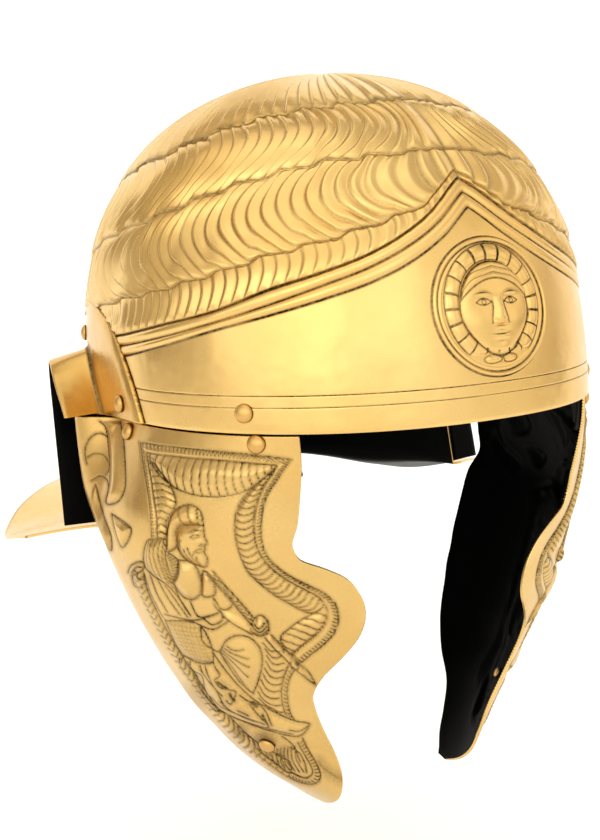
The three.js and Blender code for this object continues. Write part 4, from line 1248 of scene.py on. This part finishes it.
def build_cheeks():
    azimuth, drop = cheek_grid(CHEEK_ROWS_FINE, CHEEK_COLUMNS_FINE)
    relief, lines = cheek_relief(azimuth, drop)
    outer = on_cheek(azimuth, drop, relief)
    inner_rim = on_cheek(azimuth, drop, relief - CHEEK_WALL)
    sheet = Sheet()
    sheet.add(outer, lines)
    for ring, under, flip in (
            (outer[0], inner_rim[0], True), (outer[-1], inner_rim[-1], False),
            (outer[:, 0], inner_rim[:, 0], False), (outer[:, -1], inner_rim[:, -1], True)):
        sheet.add(np.array([ring, (ring + under) / 2, under]), flip=flip)
    sheet.add(inner_rim[::3, ::3], paint=1, flip=True)
    sheet.build_pair("cheek_piece", "shell", [BRASS, BLACK_PAINT], "brass")


# Straps and rivets

def build_straps():
    heights = np.concatenate([np.linspace(STRAP_RISE, 4 * RIM_CLEARANCE, 9),
                              np.linspace(-RIM_CLEARANCE, -STRAP_DROP, 11)])
    for name, middle in (("front", FRONT_STRAP_Y), ("rear", REAR_STRAP_Y)):
        shares = np.linspace(-0.5, 0.5, 15)
        y = middle + STRAP_WIDTH * shares

        def face(depth):
            rows = []
            for z in heights:
                if z > 0:
                    rows.append(at_side(y, np.full(y.shape, z), -(BOWL_WALL + depth)))
                else:
                    fall = np.full(y.shape, -z - RIM_CLEARANCE)
                    turn = azimuth_at(cheek_oval, y, fall)
                    rows.append(on_cheek(turn, fall, -(CHEEK_WALL + depth)))
            return np.array(rows)

        outer, inner = face(STRAP_SEAT), face(STRAP_SEAT + STRAP_THICKNESS)
        sheet = Sheet()
        sheet.add(outer, flip=True)
        sheet.add(inner)
        sheet.close(outer, inner)
        sheet.build_pair(f"hinge_strap_{name}", "tab", [LEATHER], "leather")


def cheek_seat(y, drop):
    y, drop = np.array([y]), np.array([drop])
    return lambda out: on_cheek(azimuth_at(cheek_oval, y, drop), drop, np.array([out]))[0]


def side_seat(y, z):
    return lambda out: at_side(np.array([y]), np.array([z]), np.array([out]))[0]


PLATE_TOP = GAP + EAR_PLATE_WALL
STRAP_STACK = STRAP_SEAT + STRAP_THICKNESS
RIVETS = {
    # name: seat (y, height or drop), foot of the head, thickness that it clamps
    "brow": (side_seat(-66.8, 7.7), 0, BOWL_WALL + STRAP_STACK),
    "cheek_front": (cheek_seat(-69.5, 3.0), 0, CHEEK_WALL + STRAP_STACK),
    "cheek_rear": (cheek_seat(2.3, 4.0), 0, CHEEK_WALL + STRAP_STACK),
    "cheek_tip": (cheek_seat(-31.5, 141.0), 0, CHEEK_WALL),
    "ear_front": (side_seat(5.9, 6.4), PLATE_TOP, PLATE_TOP + BOWL_WALL + STRAP_STACK),
    "ear_top": (side_seat(EAR_BACK * 1.64, EAR_RISE * 1.24), PLATE_TOP, PLATE_TOP + BOWL_WALL),
    "ear_rear": (side_seat(EAR_BACK * 1.5, -EAR_DROP * 0.45), PLATE_TOP, PLATE_TOP + BOWL_WALL),
}


def build_rivets():
    sides = np.linspace(0, 2 * np.pi, RIVET_SIDES, endpoint=False)
    dome = [(RIVET_HEAD_RADIUS * math.cos(a),
             RIVET_HEAD_EDGE + (RIVET_HEAD_HEIGHT - 0.15) * math.sin(a))
            for a in np.linspace(0, math.pi / 2, 10)]
    for name, (seat, top, stack) in RIVETS.items():
        tail = -stack - 2 * GAP
        end = tail - RIVET_TAIL_HEIGHT
        profile = [(0, end), (RIVET_TAIL_RADIUS - 0.6, end),
                   (RIVET_TAIL_RADIUS, tail - RIVET_TAIL_HEIGHT / 2), (RIVET_TAIL_RADIUS, tail),
                   (RIVET_SHANK_RADIUS, tail), (RIVET_SHANK_RADIUS, RIVET_HEAD_FOOT),
                   (RIVET_HEAD_RADIUS * 0.97, RIVET_HEAD_FOOT), *dome]
        foot = seat(float(top))
        out = seat(float(top) + 1.0) - foot
        out /= np.linalg.norm(out)
        aside = np.cross(out, [0, 0, 1.0])
        aside /= np.linalg.norm(aside)
        above = np.cross(aside, out)
        rings, darkening = [], []
        for radius, height in profile:
            rings.append(foot + out * height + radius * (
                np.cos(sides)[:, None] * aside + np.sin(sides)[:, None] * above))
            at_rim = height < RIVET_RIM_TOP and radius > RIVET_RIM_START
            darkening.append(RIVET_RIM_PATINA if at_rim else 0.0)
        sheet = Sheet()
        sheet.add(np.array(rings), np.array(darkening)[:, None], wrap=True, flip=True)
        sheet.build_pair(f"rivet_{name}", "head", [RIVET_BRASS], "rivet_brass")


build_bowl()
build_medallion()
build_ear_guards()
build_cheeks()
build_straps()
build_rivets()

# Stage, light and camera

# Floor and backdrop in metres: the floor runs from near the camera to the bend behind
FLOOR_Z = -0.30
FLOOR_NEAR = -3.0
BEND_START = 1.0
BEND_RADIUS = 0.8
BACKDROP_TOP = 3.0
BACKDROP_HALF_WIDTH = 4.0
BACKDROP_TURN = math.radians(-30.7)
BACKDROP_WHITE = 0.9
BACKDROP_GLOW = 0.21
# The studio round the helmet: where it is brightest, and its colors behind and in front
BRIGHT_SIDE = (-0.40, -0.85, 0.30)
BRIGHT_START, BRIGHT_END = -0.4, 0.85
COLOR_BEHIND = (0.40, 0.29, 0.17)
COLOR_IN_FRONT = (1.65, 1.6, 1.48)
STUDIO_STRENGTH = 0.8
LIGHTS = [
    # name, place, target, size, power
    ("overhead", (-0.1, -0.2, 1.5), (0, 0, 0), (1.6, 1.2), 2.6),
    ("left_window", (-1.35, -0.62, 0.45), (0, 0, 0.05), (1.9, 0.9), 3.4),
    ("front_window", (-0.6, -1.45, 0.58), (0, 0, 0.05), (2.0, 0.9), 2.5),
    ("right_window", (1.35, -0.9, 0.5), (0, 0, 0.05), (1.2, 0.9), 1.4),
]


def build_stage():
    steps = np.linspace(0, math.pi / 2, 16)
    profile = [(FLOOR_NEAR, FLOOR_Z), (BEND_START, FLOOR_Z)]
    profile += [(BEND_START + BEND_RADIUS * math.sin(a), FLOOR_Z + BEND_RADIUS * (1 - math.cos(a)))
                for a in steps]
    profile += [(BEND_START + BEND_RADIUS, BACKDROP_TOP)]
    turn = BACKDROP_TURN
    vertices = []
    for away, height in profile:
        for across in (-BACKDROP_HALF_WIDTH, BACKDROP_HALF_WIDTH):
            vertices.append((across * math.cos(turn) - away * math.sin(turn),
                             across * math.sin(turn) + away * math.cos(turn), height))
    faces = [(2 * i, 2 * i + 1, 2 * i + 3, 2 * i + 2) for i in range(len(profile) - 1)]
    mesh = bpy.data.meshes.new("backdrop")
    mesh.from_pydata(vertices, [], faces)
    mesh.polygons.foreach_set("use_smooth", [True] * len(faces))
    material, _, shader = new_material("backdrop")
    shader.inputs["Base Color"].default_value = (BACKDROP_WHITE,) * 3 + (1,)
    shader.inputs["Roughness"].default_value = 1
    shader.inputs["Emission Color"].default_value = (1, 1, 1, 1)
    shader.inputs["Emission Strength"].default_value = BACKDROP_GLOW
    mesh.materials.append(material)
    backdrop = bpy.data.objects.new("backdrop", mesh)
    bpy.context.collection.objects.link(backdrop)


def area_light(name, place, target, size, power):
    data = bpy.data.lights.new(name, "AREA")
    data.shape = "RECTANGLE"
    data.size, data.size_y = size
    data.energy = power
    lamp = bpy.data.objects.new(name, data)
    bpy.context.collection.objects.link(lamp)
    lamp.location = place
    direction = Vector(target) - lamp.location
    lamp.rotation_euler = direction.to_track_quat("-Z", "Y").to_euler()


def build_camera():
    data = bpy.data.cameras.new("camera")
    data.lens = CAMERA_LENS
    data.sensor_width = SENSOR_WIDTH
    camera = bpy.data.objects.new("camera", data)
    bpy.context.collection.objects.link(camera)
    axes = Matrix((CAMERA_RIGHT, CAMERA_UP, CAMERA_BACK)).transposed()
    turn = axes.to_quaternion().to_matrix().to_4x4()
    camera.matrix_world = Matrix.Translation((CAMERA_PLACE * MM).tolist()) @ turn
    bpy.context.scene.camera = camera


def build_light():
    """A studio that is white in front and warmer and dimmer behind, with four soft lights."""
    world = bpy.data.worlds.new("studio")
    bpy.context.scene.world = world
    world.use_nodes = True
    tree = world.node_tree
    places = node(tree, "ShaderNodeTexCoord")
    facing = node(tree, "ShaderNodeVectorMath", operation="DOT_PRODUCT")
    tree.links.new(places.outputs["Generated"], facing.inputs[0])
    facing.inputs[1].default_value = BRIGHT_SIDE
    share = ranged(tree, facing.outputs["Value"], 0, 1, BRIGHT_START, BRIGHT_END)
    glow = mixed(tree, share, COLOR_BEHIND, COLOR_IN_FRONT)
    tree.links.new(glow, tree.nodes["Background"].inputs["Color"])
    tree.nodes["Background"].inputs["Strength"].default_value = STUDIO_STRENGTH
    for light in LIGHTS:
        area_light(*light)
    bpy.context.scene.view_settings.view_transform = "Standard"


build_stage()
build_light()
build_camera()
